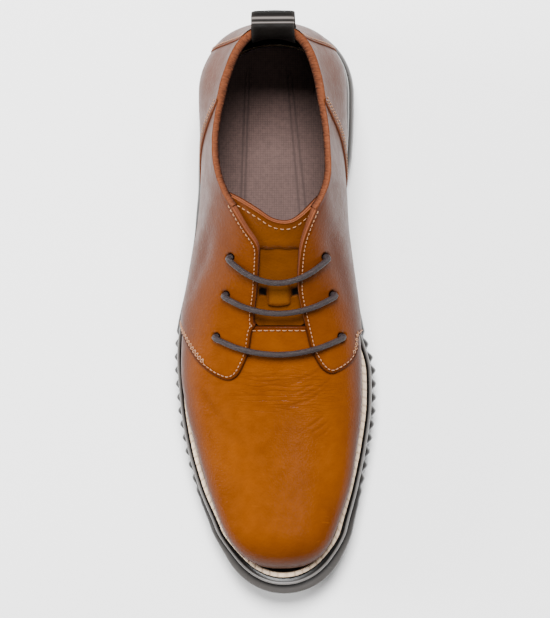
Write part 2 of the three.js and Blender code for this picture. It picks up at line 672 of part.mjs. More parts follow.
// Lace crossings, from the middle of one hole's wall over the facings to the other
const BAR_RUN = 14;
function barOf({ lateral, medial, holeAt, middleAt }) {
  const lie = QUARTER_LAY + LACE_RADIUS + SHEET_GAP;
  const points = [];
  for (let i = 0; i <= BAR_RUN; i += 1) {
    const t = i / BAR_RUN;
    const bow = (2 * t - 1) ** 2;
    const x = mix(lateral, medial, t) * SOLE_WIDTH;
    const y = along(mix(middleAt, holeAt, bow));
    const sunk = i === 0 || i === BAR_RUN;
    points.push(onFace(x, y, sunk ? 0.1 : lie).point);
  }
  // the second and the last but one point stand straight over their holes
  points[1] = onFace(lateral * SOLE_WIDTH, along(holeAt), lie - 0.2).point.lerp(points[1], 0.12);
  points[BAR_RUN - 1] = onFace(medial * SOLE_WIDTH, along(holeAt), lie - 0.2).point.lerp(points[BAR_RUN - 1], 0.12);
  const path = new THREE.CatmullRomCurve3(points, false, "centripetal");
  const section = new THREE.Shape();
  for (let i = 0; i < 8; i += 1) {
    const turn = (2 * Math.PI * i) / 8;
    const corner = [LACE_RADIUS * Math.cos(turn), LACE_RADIUS * Math.sin(turn)];
    if (i) section.lineTo(...corner);
    else section.moveTo(...corner);
  }
  const geometry = new THREE.ExtrudeGeometry(section, { steps: 18, extrudePath: path, bevelEnabled: false });
  const solid = solidOf(geometry);
  return solid;
}

// Pull loop: a strap from the outside of the heel over the collar and down its inside
function heelFace(x, lift) {
  let low = along(0.85);
  let high = backOf(lift);
  for (let i = 0; i < 40; i += 1) {
    const y = (low + high) / 2;
    const { middle, half } = lastAt(y, lift);
    if (half > Math.abs(x - middle)) low = y;
    else high = y;
  }
  return low;
}
const SLANT = 1.2; // the heel turns away under the strap
const OUTER_LAY = SLANT * (QUARTER_LAY + COUNTER_LAY) + SHEET_GAP;
const INNER_LAY = -SLANT * WALL - SHEET_GAP;
const LOOP_PATH = [
  { lift: BACK_LIFT - LOOP_TAIL, out: OUTER_LAY },
  { lift: BACK_LIFT - 0.56 * LOOP_TAIL, out: OUTER_LAY },
  { lift: BACK_LIFT - 0.19 * LOOP_TAIL, out: OUTER_LAY + 0.5 * LOOP_STAND },
  { lift: BACK_LIFT + 0.31 * LOOP_RISE, out: LOOP_STAND },
  { lift: BACK_LIFT + 0.92 * LOOP_RISE, out: 0.6 * LOOP_STAND },
  { lift: BACK_LIFT + LOOP_RISE, out: 0 },
  { lift: BACK_LIFT + 0.46 * LOOP_RISE, out: INNER_LAY },
  { lift: BACK_LIFT - 0.31 * LOOP_TAIL, out: INNER_LAY },
  { lift: BACK_LIFT - 0.94 * LOOP_TAIL, out: INNER_LAY },
];
const LOOP_COLUMNS = 4;
function strap() {
  const { middle } = lastAt(backOf(BACK_LIFT) - 1, BACK_LIFT);
  const outer = [];
  const inner = [];
  for (let c = 0; c <= LOOP_COLUMNS; c += 1) {
    const x = middle + mix(-LOOP_WIDTH / 2, LOOP_WIDTH / 2, c / LOOP_COLUMNS);
    const run = LOOP_PATH.map(({ lift, out }) => {
      const y = heelFace(x, Math.min(lift, BACK_LIFT)) + out;
      return new THREE.Vector2(y, foot(backOf(BACK_LIFT)) + lift);
    });
    const curve = new THREE.SplineCurve(run);
    const steps = 15;
    const near = [];
    const far = [];
    for (let i = 0; i <= steps; i += 1) {
      const t = i / steps;
      const p = curve.getPoint(t);
      const d = curve.getTangent(t);
      near.push(new THREE.Vector3(x, p.x, p.y));
      far.push(new THREE.Vector3(x, p.x + d.y * LOOP_THICK, p.y - d.x * LOOP_THICK));
    }
    inner.push(near);
    outer.push(far);
  }
  const rows = outer[0].length;
  const points = [...outer.flat(), ...inner.flat()];
  const index = (face, c, i) => face * (LOOP_COLUMNS + 1) * rows + c * rows + i;
  const faces = [];
  const quad = (a, b, c, d) => faces.push([a, b, c], [a, c, d]);
  for (let c = 0; c < LOOP_COLUMNS; c += 1) {
    for (let i = 0; i < rows - 1; i += 1) {
      quad(index(0, c, i), index(0, c, i + 1), index(0, c + 1, i + 1), index(0, c + 1, i));
      quad(index(1, c, i), index(1, c + 1, i), index(1, c + 1, i + 1), index(1, c, i + 1));
    }
    quad(index(0, c, 0), index(0, c + 1, 0), index(1, c + 1, 0), index(1, c, 0));
    quad(index(0, c, rows - 1), index(1, c, rows - 1), index(1, c + 1, rows - 1), index(0, c + 1, rows - 1));
  }
  for (let i = 0; i < rows - 1; i += 1) {
    quad(index(0, 0, i), index(1, 0, i), index(1, 0, i + 1), index(0, 0, i + 1));
    quad(index(0, LOOP_COLUMNS, i), index(0, LOOP_COLUMNS, i + 1), index(1, LOOP_COLUMNS, i + 1), index(1, LOOP_COLUMNS, i));
  }
  return solidFrom(points, faces);
}

// Assembly
const group = new THREE.Group();
function put(name, solid, color) {
  const outward = solid.volume() < 0 ? null : solid;
  if (!outward) throw new Error(name + " faces inwards");
  const mesh = new THREE.Mesh(geometryOf(outward), new THREE.MeshStandardMaterial({ color, roughness: 0.6 }));
  mesh.name = name;
  group.add(mesh);
}
put("outsole", outsole, 0x241f1d);
put("midsole", midsole, 0x2b2523);
put("welt", welt, 0xc9a27c);
put("insole", insole, 0x5c4a48);
put("upper", upper, 0xa5570f);
put("tongue", tongue, 0x9a5514);
put("lace_keeper", keeper, 0x8a4a12);
for (const crossing of CROSSINGS) put(crossing.name, barOf(crossing), 0x4a3c40);
put("pull_loop", strap(), 0x3a2620);

export default group;
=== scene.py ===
"""Dressed scene of a right chukka boot in tan leather, seen from above.

All shapes are worked out in millimetres in the boot's own frame: toe along -Y, heel along +Y,
inner side of the foot +X, floor at z = 0. Meshes are written in metres.
"""

import logging
import math
from collections.abc import Callable
from dataclasses import dataclass, field
from enum import Enum

import bpy
import numpy as np
from mathutils import Matrix, Vector

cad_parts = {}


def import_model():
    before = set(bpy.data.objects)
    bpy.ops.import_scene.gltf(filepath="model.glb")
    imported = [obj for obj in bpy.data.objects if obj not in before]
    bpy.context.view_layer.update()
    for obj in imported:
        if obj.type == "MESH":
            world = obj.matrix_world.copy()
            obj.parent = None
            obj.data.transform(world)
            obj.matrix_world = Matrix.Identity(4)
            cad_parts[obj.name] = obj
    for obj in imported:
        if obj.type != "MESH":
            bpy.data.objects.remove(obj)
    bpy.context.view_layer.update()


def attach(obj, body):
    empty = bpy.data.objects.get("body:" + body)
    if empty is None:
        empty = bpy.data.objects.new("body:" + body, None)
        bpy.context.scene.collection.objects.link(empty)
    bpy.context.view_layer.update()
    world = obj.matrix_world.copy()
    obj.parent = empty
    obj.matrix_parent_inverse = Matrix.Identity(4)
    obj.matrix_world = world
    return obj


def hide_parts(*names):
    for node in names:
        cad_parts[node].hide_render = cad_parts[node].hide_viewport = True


LOG = logging.getLogger("chukka")
MM = 0.001
Array = np.ndarray
Field = Callable[[Array], Array]
Colour = tuple[float, float, float, float]
Node = bpy.types.Node
Tree = bpy.types.NodeTree
Material = bpy.types.Material
Socket = bpy.types.NodeSocket
Pair = tuple[float, float]
Triple = tuple[float, float, float]
Rows = tuple[tuple[float, ...], ...]
ALL_ROUND = (0.0, 2 * np.pi)


class Side(Enum):
    """Sides of the right foot, as the sign of x."""

    OUTER = -1.0
    INNER = 1.0


# Tables and sizes


@dataclass(frozen=True)
class Table:
    """Rows of numbers with named columns, read along the first one."""

    columns: tuple[str, ...]
    rows: Rows

    def read(self, column: str, place: Array) -> Array:
        """Reads a column along a smooth curve without overshoot.

        The slope at a row is the harmonic mean of the slopes on both sides, and 0 at a turn and
        at both ends.

        Args:
            column: Name of the column.
            place: Values of the first column.

        Returns:
            The column's value at each place.
        """
        data = np.array(self.rows)
        xs = data[:, 0]
        ys = data[:, self.columns.index(column)]
        slope = np.diff(ys) / np.diff(xs)
        product = slope[:-1] * slope[1:]
        total = slope[:-1] + slope[1:]
        inner = np.where(product > 0, 2 * product / np.where(product > 0, total, 1.0), 0.0)
        tangent = np.concatenate([[0.0], inner, [0.0]])
        at = np.clip(np.asarray(place, dtype=float), xs[0], xs[-1])
        i = np.clip(np.searchsorted(xs, at, side="right") - 1, 0, len(xs) - 2)
        span = xs[i + 1] - xs[i]
        t = (at - xs[i]) / span
        near = ys[i] * (1 + 2 * t) * (1 - t) ** 2 + ys[i + 1] * t * t * (3 - 2 * t)
        return near + span * (tangent[i] * t * (1 - t) ** 2 - tangent[i + 1] * t * t * (1 - t))


@dataclass(frozen=True)
class Sizes:
    """Driving sizes of the boot in millimetres."""

    length: float = 301.0
    width: float = 108.0
    toe_seat: float = 27.0
    ball_seat: float = 23.0
    heel_seat: float = 33.0
    toe_spring: float = 10.5
    arch_relief: float = 6.0
    tread: float = 6.0
    groove_depth: float = 3.0
    rib_depth: float = 2.2
    rib_pitch: float = 7.2
    welt: float = 2.4
    footbed: float = 4.2
    instep_lift: float = 88.0
    back_lift: float = 77.0
    collar_dip: float = 12.0
    wall: float = 2.1
    quarter_lay: float = 1.2
    counter_lay: float = 0.9
    tongue_thick: float = 2.6
    lace_radius: float = 1.5
    loop_width: float = 21.0
    loop_thick: float = 1.7
    loop_stand: float = 7.5
    gap: float = 0.3
    sheet_gap: float = 0.4


SOLE_PLAN = Table(
    ("at", "middle", "half"),
    (
        (0, 0.047, 0.316), (0.06, 0.045, 0.318), (0.115, 0.034, 0.352), (0.188, 0.018, 0.415),
        (0.261, 0.01, 0.463), (0.334, 0.006, 0.491), (0.389, -0.001, 0.496), (0.467, -0.024, 0.461),
        (0.571, -0.025, 0.397), (0.645, -0.022, 0.369), (0.7, -0.016, 0.364), (0.772, 0.003, 0.378),
        (0.846, 0.011, 0.379), (1, 0.014, 0.376),
    ),
)
LEDGES = Table(
    ("at", "flange", "welt"),
    (
        (0, 5.2, 9.4), (0.115, 3.2, 6.4), (0.19, 2.6, 5.4), (0.33, 2.4, 5.1), (0.6, 2.2, 4.8),
        (1, 2.6, 5),
    ),
)
LAST_PLAN = Table(
    ("at", "middle", "half", "tuck"),
    (
        (0.053, 0.043, 0.247, 0.98), (0.08, 0.038, 0.254, 0.98), (0.115, 0.031, 0.275, 0.97),
        (0.151, 0.028, 0.31, 0.96), (0.188, 0.026, 0.345, 0.95), (0.261, 0.012, 0.391, 0.95),
        (0.334, -0.005, 0.427, 0.95), (0.389, -0.018, 0.434, 0.94), (0.48, -0.018, 0.422, 0.91),
        (0.562, -0.008, 0.383, 0.88), (0.676, 0.005, 0.342, 0.89), (0.766, 0.01, 0.329, 0.93),
        (0.866, 0.007, 0.331, 0.95), (0.974, 0.01, 0.324, 0.95),
    ),
)
RIDGE = Table(
    ("at", "lift", "middle", "keep", "power"),
    (
        (0.053, 0.24, 0.043, 1, 2.3), (0.128, 0.266, 0.038, 1, 2.3),
        (0.188, 0.307, 0.036, 1, 2.15), (0.261, 0.364, 0.038, 1, 2.05),
        (0.334, 0.432, 0.044, 1, 2), (0.39, 0.497, 0.05, 1, 2),
        (0.463, 0.6, 0.053, 1, 2), (0.5, 0.67, 0.055, 1, 2),
        (0.566, 0.833, 0.058, 1, 2), (0.626, 0.992, 0.055, 1, 2),
        (0.699, 1.227, 0.046, 0.97, 2), (0.766, 1.534, 0.03, 0.88, 2),
        (0.806, 1.8, 0.03, 0.79, 2), (0.85, 2.1, 0.035, 0.69, 2), (0.89, 2.4, 0.041, 0.65, 2),
        (0.974, 2.7, 0.048, 0.69, 2),
    ),
)
BACK = Table(
    ("rise", "at"),
    (
        (0, 0.9625), (0.14, 0.9715), (0.28, 0.973), (0.5, 0.967), (0.72, 0.955), (0.9, 0.946),
        (1, 0.944), (1.1, 0.944),
    ),
)
LOOPS = Table(
    ("level", "ridge", "back"),
    (
        (0, 0, 0), (1, 0.022, 0.05), (2, 0.05, 0.1), (3, 0.08, 0.155),
        (4, 0.115, 0.21), (5, 0.155, 0.27), (6, 0.205, 0.33), (7, 0.265, 0.39),
        (8, 0.335, 0.45), (9, 0.41, 0.51), (10, 0.49, 0.57), (11, 0.57, 0.63),
        (12, 0.65, 0.69), (13, 0.73, 0.75), (14, 0.81, 0.82), (15, 0.89, 0.89),
        (16, 0.95, 0.95), (17, 1, 1), (18, 1.035, 1.06),
    ),
)
COLLAR_LEVEL = 17.0
HALVINGS = 40
TOP_LEVEL = 18.0
SEATS = Table(
    ("at", "toe", "ball", "heel"),
    (
        (0, 1, 0, 0), (0.33, 0, 1, 0), (0.5, 0, 0.78, 0.22),
        (0.66, 0, 0.28, 0.72), (0.82, 0, 0, 1), (1, 0, 0, 1),
    ),
)
THROAT = Table(
    ("at", "outer", "inner"),
    (
        (0.4632, -0.0685, 0.173), (0.485, -0.066, 0.161), (0.517, -0.05, 0.1445),
        (0.5425, -0.041, 0.1435), (0.569, -0.0325, 0.15), (0.5945, -0.0325, 0.161),
        (0.621, -0.081, 0.186), (0.646, -0.122, 0.217), (0.676, -0.17, 0.252),
    ),
)
# Front edges of the quarters below the throat, as shares of length and width
OUTER_TAB = (
    (0.4545, -0.0796), (0.4243, -0.0944), (0.4023, -0.12), (0.384, -0.15), (0.3757, -0.191),
    (0.3804, -0.241), (0.3914, -0.292), (0.4076, -0.343), (0.428, -0.384), (0.451, -0.42),
    (0.477, -0.47), (0.49, -0.65),
)
INNER_TAB = (
    (0.4545, 0.178), (0.4272, 0.196), (0.4076, 0.222), (0.3937, 0.249), (0.387, 0.287),
    (0.3937, 0.332), (0.4076, 0.38), (0.428, 0.407), (0.456, 0.43), (0.472, 0.65),
)
TONGUE_PLAN = Table(
    ("at", "outer", "inner"),
    ((0.395, -0.1, 0.2), (0.5, -0.155, 0.26), (0.62, -0.19, 0.28), (0.7, -0.215, 0.3)),
)
GROOVES = (0.1, 0.145, 0.19, 0.235, 0.28, 0.325, 0.375, 0.425, 0.475, 0.775, 0.82, 0.865, 0.91, 0.95)


@dataclass(frozen=True)
class Crossing:
    """One visible crossing of the lace: its holes and its lowest place, as shares."""

    node: str
    outer: float
    inner: float
    hole_at: float
    middle_at: float


CROSSINGS = (
    Crossing("lace_bar_1", -0.16, 0.264, 0.578, 0.541),
    Crossing("lace_bar_2", -0.192, 0.295, 0.518, 0.491),
    Crossing("lace_bar_3", -0.245, 0.331, 0.449, 0.422),
)


def ramp(t: Array) -> Array:
    """Smooth step from 0 to 1 over t from 0 to 1."""
    c = np.clip(t, 0.0, 1.0)
    return c * c * (3 - 2 * c)


def mix(a: Array, b: Array, t: Array) -> Array:
    """Straight mix of a and b."""
    return a + (b - a) * t


def rounded(distance: Array, reach: Array, power: float) -> Array:
    """Share of the full width left near a rounded end: a superellipse's quarter.

    Args:
        distance: Distance in from the end.
        reach: Length of the rounded part.
        power: 2 is a circle's quarter; more is blunter.

    Returns:
        0 at the end, 1 past the reach.
    """
    t = np.clip(distance / reach, 0.0, 1.0)
    return (1 - (1 - t) ** power) ** (1 / power)


def unit(v: Array) -> Array:
    """Vectors along the last axis scaled to length 1."""
    return v / np.maximum(np.linalg.norm(v, axis=-1, keepdims=True), 1e-9)


def plan(rows: tuple[Pair, ...], sizes: Sizes) -> Array:
    """Outline points in millimetres from rows of (at, across)."""
    data = np.array(rows)
    return np.stack([data[:, 1] * sizes.width, (data[:, 0] - 0.5) * sizes.length], axis=1)


def rounded_line(points: Array, per: int = 8) -> Array:
    """Smooth line through points: Catmull-Rom pieces with the ends doubled."""
    p = np.vstack([2 * points[0] - points[1], points, 2 * points[-1] - points[-2]])
    t = np.linspace(0, 1, per, endpoint=False)[:, None]
    a, b, c, d = p[:-3, None], p[1:-2, None], p[2:-1, None], p[3:, None]
    body = 0.5 * (2 * b + (c - a) * t + (2 * a - 5 * b + 4 * c - d) * t**2 + (3 * b - a - 3 * c + d) * t**3)
    return np.vstack([body.reshape(-1, points.shape[1]), points[-1:]])


def run_along(points: Array) -> Array:
    """Distance along a line from its start, at each of its points."""
    return np.concatenate([[0.0], np.cumsum(np.linalg.norm(np.diff(points, axis=0), axis=1))])


def spaced(points: Array, step: float) -> Array:
    """The same open line with points a step apart."""
    run = run_along(points)
    count = max(2, int(round(run[-1] / step)) + 1)
    at = np.linspace(0, run[-1], count)
    return np.stack([np.interp(at, run, points[:, k]) for k in range(points.shape[1])], axis=1)


def inside_by(points: Array, outline: Array) -> Array:
    """Distance in plan to a closed outline, positive inside.

    The sign is the parity of outline pieces crossed by a ray along +X; the size is the least
    distance to any piece.

    Args:
        points: (n, 2 or more) places; only x and y are read.
        outline: (m, 2) corners.

    Returns:
        (n,) distances in millimetres.
    """
    a = outline
    b = np.roll(outline, -1, axis=0)
    out = np.empty(len(points))
    batch = 20000
    for start in range(0, len(points), batch):
        q = points[start : start + batch, None, :2]
        d = b - a
        t = np.clip(((q - a) * d).sum(-1) / np.maximum((d * d).sum(-1), 1e-12), 0, 1)
        gap = np.linalg.norm(q - (a + t[..., None] * d), axis=-1).min(axis=1)
        y = q[..., 1]
        crosses = (a[:, 1] > y) != (b[:, 1] > y)
        dy = np.where(np.abs(d[:, 1]) < 1e-12, 1e-12, d[:, 1])
        hit = crosses & (q[..., 0] < a[:, 0] + (y - a[:, 1]) / dy * d[:, 0])
        out[start : start + batch] = np.where(hit.sum(axis=1) % 2 == 1, gap, -gap)
    return out


# Forms


@dataclass
class Sole:
    """Heights and outlines of the sole; the reaches are shares of its length."""

    sizes: Sizes
    toe_reach: float = 0.116
    toe_power: float = 2.0
    heel_reach: float = 0.13
    heel_power: float = 2.25
    spring_from: float = 0.26
    waist: Pair = (0.51, 0.715)
    waist_fade: float = 0.055
    heel_bevel: float = 2.4
    bevel_from: float = 0.955
    seats: Table = field(init=False)

    def __post_init__(self) -> None:
        """Works out the height of each seat row from the three driving heights."""
        heights = (self.sizes.toe_seat, self.sizes.ball_seat, self.sizes.heel_seat)
        rows = tuple((row[0], sum(w * h for w, h in zip(row[1:], heights))) for row in SEATS.rows)
        self.seats = Table(("at", "top"), rows)

    def along(self, at: Array) -> Array:
        """Place along Y of a share of the length from the toe."""
        return (np.asarray(at, dtype=float) - 0.5) * self.sizes.length

    def share(self, y: Array) -> Array:
        """Share of the length from the toe at a place along Y."""
        return np.asarray(y, dtype=float) / self.sizes.length + 0.5

    def top(self, y: Array) -> Array:
        """Top of the sole."""
        return self.seats.read("top", self.share(y))

    def foot(self, y: Array) -> Array:
        """Where the upper starts: over the welt."""
        return self.top(y) + 2 * self.sizes.gap + self.sizes.welt

    def bottom(self, y: Array) -> Array:
        """Underside: toe spring, waist relief and a small bevel at the heel."""
        at = self.share(y)
        toe = self.sizes.toe_spring * np.clip((self.spring_from - at) / self.spring_from, 0, 1) ** 1.9
        first, final = self.waist
        fade = self.waist_fade
        waist = self.sizes.arch_relief * ramp((at - first) / fade) * ramp((final - at) / fade)
        heel = self.heel_bevel * np.clip((at - self.bevel_from) / (1 - self.bevel_from), 0, 1) ** 2
        return toe + waist + heel

    def edge(self, side: Array, y: Array, inset: Array, toe_inset: float, heel_inset: float) -> Array:
        """X of the outline moved in by a distance.

        Args:
            side: -1 for the outer and 1 for the inner side, 0 for the middle line.
            y: Places along the boot.
            inset: Distance in from the outermost outline.
            toe_inset: The same at the toe tip.
            heel_inset: The same at the heel.

        Returns:
            X in millimetres.
        """
        at = self.share(y)
        half = SOLE_PLAN.read("half", at) * self.sizes.width - inset
        reach_toe = self.toe_reach * self.sizes.length - toe_inset
        reach_heel = self.heel_reach * self.sizes.length - heel_inset
        toe = rounded(y - self.along(0) - toe_inset, reach_toe, self.toe_power)
        heel = rounded(self.along(1) - heel_inset - y, reach_heel, self.heel_power)
        return SOLE_PLAN.read("middle", at) * self.sizes.width + side * half * toe * heel


@dataclass
class Last:
    """The upper's own surface: a point for each turn round the foot and each level up it.

    Turn 0 is on the ridge in front, a half turn is the back of the heel, and turns up to a half
    run along the inner side. Level 0 is the foot of the upper and 17 is the collar.
    """

    sizes: Sizes
    sole: Sole
    toe_at: float = 0.048
    toe_reach: float = 0.086
    toe_power: float = 2.4
    heel_reach: float = 0.11
    heel_power: float = 2.25
    ridge_reach: float = 0.073
    ridge_end: float = 0.7
    collar_front: float = 0.6265
    tuck_rise: float = 0.3
    tuck_most: float = 14.0
    shaft_from: float = 26.0
    path_steps: int = 1600
    toe_tip: float = field(init=False)
    path_y: Array = field(init=False)
    path_run: Array = field(init=False)
    collar_run: float = field(init=False)

    def __post_init__(self) -> None:
        """Measures the ridge from the toe to past the collar."""
        sole = self.sole
        self.toe_tip = float(sole.along(self.toe_at))
        t = np.linspace(0, 1, self.path_steps + 1)
        self.path_y = mix(self.toe_tip, float(sole.along(self.ridge_end)), t * t * (2 - t))
        z = sole.foot(self.path_y) + self.ridge_lift(self.path_y)
        steps = np.hypot(np.diff(self.path_y), np.diff(z))
        self.path_run = np.concatenate([[0.0], np.cumsum(steps)])
        self.collar_run = float(np.interp(sole.along(self.collar_front), self.path_y, self.path_run))

    def ridge_lift(self, y: Array) -> Array:
        """Height of the ridge above the welt."""
        lift = RIDGE.read("lift", self.sole.share(y)) * self.sizes.instep_lift
        return lift * rounded(y - self.toe_tip, self.ridge_reach * self.sizes.length, 2.2)

    def back(self, lift: Array) -> Array:
        """Place of the heel's back at a height above the welt."""
        return self.sole.along(BACK.read("at", lift / self.sizes.back_lift))

    def wide(self, y: Array) -> Array:
        """Height above the welt at which the upper is widest."""
        return np.minimum(self.tuck_most, self.tuck_rise * self.ridge_lift(y))

    def section(self, y: Array, lift: Array) -> tuple[Array, Array]:
        """Middle line and half width at a place and height.

        The half width is the plan's, times a superellipse that closes over the ridge, a share
        kept at the collar, a tuck at the foot, and the rounding of toe and heel.
        """
        at = self.sole.share(y)
        ridge = self.ridge_lift(y)
        wide = self.wide(y)
        up = np.clip((lift - wide) / np.maximum(ridge - wide, 0.001), 0, 1)
        power = RIDGE.read("power", at)
        arch = np.maximum(1 - up**power, 0) ** (1 / power)
        shaft = ramp((lift - self.shaft_from) / (self.sizes.back_lift - self.shaft_from))
        keep = mix(1.0, RIDGE.read("keep", at), shaft)
        low = 1 - np.clip(lift / np.maximum(wide, 0.001), 0, 1)
        tuck = 1 - (1 - LAST_PLAN.read("tuck", at)) * low * low
        toe = rounded(y - self.toe_tip, self.toe_reach * self.sizes.length, self.toe_power)
        heel = rounded(self.back(lift) - y, self.heel_reach * self.sizes.length, self.heel_power)
        half = LAST_PLAN.read("half", at) * self.sizes.width * tuck * arch * keep * toe * heel
        top = np.maximum(np.minimum(ridge, self.sizes.instep_lift), 0.001)
        sideways = np.clip(lift / top, 0, 1) ** 1.5
        middle = mix(LAST_PLAN.read("middle", at), RIDGE.read("middle", at), sideways)
        return middle * self.sizes.width, half

    def skin(self, turn: Array, level: Array) -> Array:
        """Points of the surface.

        Args:
            turn: Angle round the foot in radians.
            level: Loop of the upper, from 0 to 18.

        Returns:
            (..., 3) points in millimetres.
        """
        ridge = LOOPS.read("ridge", level)
        back = LOOPS.read("back", level)
        front = np.interp(ridge * self.collar_run, self.path_run, self.path_y)
        front_lift = np.where(ridge <= 0, 0.0, self.ridge_lift(front))
        back_lift = back * self.sizes.back_lift
        share = (1 - np.cos(turn)) / 2
        y = mix(front, self.back(back_lift), share)
        dip = self.sizes.collar_dip * back**3 * np.sin(np.pi * np.clip(share, 0, 1))
        lift = mix(front_lift, back_lift, share) - dip
        middle, half = self.section(y, lift)
        side = np.sin(turn)
        x = middle + np.where(np.abs(side) < 1e-9, 0.0, np.sign(side)) * half
        return np.stack([x, y, self.sole.foot(y) + lift], axis=-1)

    def frame(self, turn: Array, level: Array) -> tuple[Array, Array, Array, Array]:
        """Point, both tangents per unit of turn and level, and the outward normal."""
        e_turn, e_level = 0.006, 0.03
        low = np.clip(level - e_level, 0, TOP_LEVEL)
        high = np.clip(level + e_level, 0, TOP_LEVEL)
        du = (self.skin(turn + e_turn, level) - self.skin(turn - e_turn, level)) / (2 * e_turn)
        dv = (self.skin(turn, high) - self.skin(turn, low)) / (high - low)[..., None]
        return self.skin(turn, level), du, dv, unit(np.cross(du, dv))

    def face_over(self, x: Array, y: Array) -> Array:
        """Height of the surface over places in plan, found by halving the range."""
        low = self.wide(y)
        high = self.ridge_lift(y)
        for _ in range(HALVINGS):
            lift = (low + high) / 2
            middle, half = self.section(y, lift)
            wider = half > np.abs(x - middle)
            low = np.where(wider, lift, low)
            high = np.where(wider, high, lift)
        return self.sole.foot(y) + low

    def over(self, x: Array, y: Array, off: Array) -> tuple[Array, Array]:
        """Points a distance off the surface over places in plan, and the way out."""
        e = 0.5
        z = self.face_over(x, y)
        zx = (self.face_over(x + e, y) - self.face_over(x - e, y)) / (2 * e)
        zy = (self.face_over(x, y + e) - self.face_over(x, y - e)) / (2 * e)
        out = unit(np.stack([-zx, -zy, np.ones_like(zx)], axis=-1))
        return np.stack([x, y, z], axis=-1) + out * np.asarray(off)[..., None], out


# Creases


@dataclass(frozen=True)
class Crease:
    """A soft trough along a bent line in plan, with a low ridge on each side."""

    start: Pair
    middle: Pair
    end: Pair
    depth: float
    width: float
    lowest: float


@dataclass
class Relief:
    """Creases, slow waves and punched holes of the leather, as a height along the normal."""

    creases: tuple[Crease, ...]
    wave: float = 0.25
    hole_radius: float = 1.7
    hole_fade: float = 0.7
    holes: list[Pair] = field(default_factory=list)

    def pits(self, points: Array) -> Array:
        """Share of a hole's depth at each point: 1 within its radius, 0 past its fade."""
        pit = np.zeros(points.shape[:-1])
        for x, y in self.holes:
            d = np.hypot(points[..., 0] - x, points[..., 1] - y)
            pit = np.maximum(pit, 1 - ramp((d - self.hole_radius) / self.hole_fade))
        return pit

    def height(self, points: Array) -> tuple[Array, Array]:
        """Height and painted crease shade at each point.

        A crease is minus its depth times a bell curve of the distance from its line, plus a
        third of that at 2.2 widths; both fade to nothing at the line's ends. Two products of
        sines make the slow waves.
        """
        flat = points.reshape(-1, 3)
        height = np.zeros(len(flat))
        crease_shade = np.zeros(len(flat))
        for crease in self.creases:
            line = spaced(rounded_line(np.array([crease.start, crease.middle, crease.end]), 8), 0.4)
            lo = line.min(axis=0) - 6 * crease.width
            hi = line.max(axis=0) + 6 * crease.width
            near = np.all((flat[:, :2] > lo) & (flat[:, :2] < hi), axis=1) & (flat[:, 2] > crease.lowest)
            q = flat[near][:, None, :2]
            gap = np.linalg.norm(q - line, axis=-1)
            at = gap.argmin(axis=1)
            d = gap.min(axis=1) / crease.width
            fade = np.sin(np.pi * (at + 0.5) / len(line)) ** 0.7
            trough = np.exp(-d * d)
            ridge = 0.33 * np.exp(-((d - 2.2) ** 2))
            height[near] += crease.depth * fade * (ridge - trough)
            crease_shade[near] = np.maximum(crease_shade[near], fade * trough * min(1.0, crease.depth / 0.5))
        x, y, z = flat.T
        slow = np.sin(x * 0.11 + y * 0.07 + 1.3) * np.sin(y * 0.09 - z * 0.08)
        quick = 0.5 * np.sin(y * 0.17 + x * 0.13)
        height += self.wave * 0.5 * (slow + quick)
        return height.reshape(points.shape[:-1]), crease_shade.reshape(points.shape[:-1])


# Meshes


@dataclass
class MeshData:
    """Points in millimetres, faces of three or four corners, and values for each point."""

    points: Array
    faces: Array
    values: dict[str, Array] = field(default_factory=dict)

    def joined(self, other: "MeshData") -> "MeshData":
        """Both meshes as one; a value that one lacks is 0 there."""
        values = {}
        for name in set(self.values) | set(other.values):
            a = self.values.get(name, np.zeros(len(self.points)))
            b = other.values.get(name, np.zeros(len(other.points)))
            values[name] = np.concatenate([a, b])
        faces = np.vstack([self.faces, np.where(other.faces < 0, -1, other.faces + len(self.points))])
        return MeshData(np.vstack([self.points, other.points]), faces, values)


def grid_faces(rows: int, columns: int, wrap: bool = False, flip: bool = False) -> Array:
    """Four-corner faces of a grid of rows by columns, the columns closed to a ring if wrapped."""
    i, j = np.meshgrid(np.arange(rows - 1), np.arange(columns if wrap else columns - 1), indexing="ij")
    k = (j + 1) % columns
    faces = np.stack([i * columns + j, i * columns + k, (i + 1) * columns + k, (i + 1) * columns + j], -1)
    faces = faces.reshape(-1, 4)
    return faces[:, ::-1] if flip else faces


def slab_faces(rows: int, columns: int, ends: bool) -> Array:
    """Faces of two grids that lie back to back, closed along their sides.

    Args:
        rows: Rows of each grid.
        columns: Columns of each grid.
        ends: Whether the first and the last row are closed too.

    Returns:
        The faces, for the points of one grid followed by those of the other.
    """
    size = rows * columns
    faces = [grid_faces(rows, columns, flip=True), grid_faces(rows, columns) + size]
    i = np.arange(rows - 1) * columns
    j = np.arange(columns - 1)
    edges = [(i, columns, False), (i + columns - 1, columns, True)]
    if ends:
        edges += [(j, 1, True), (j + size - columns, 1, False)]
    for start, step, flip in edges:
        strip = np.stack([start, start + step, start + step + size, start + size], axis=1)
        faces.append(strip[:, ::-1] if flip else strip)
    return np.vstack(faces)


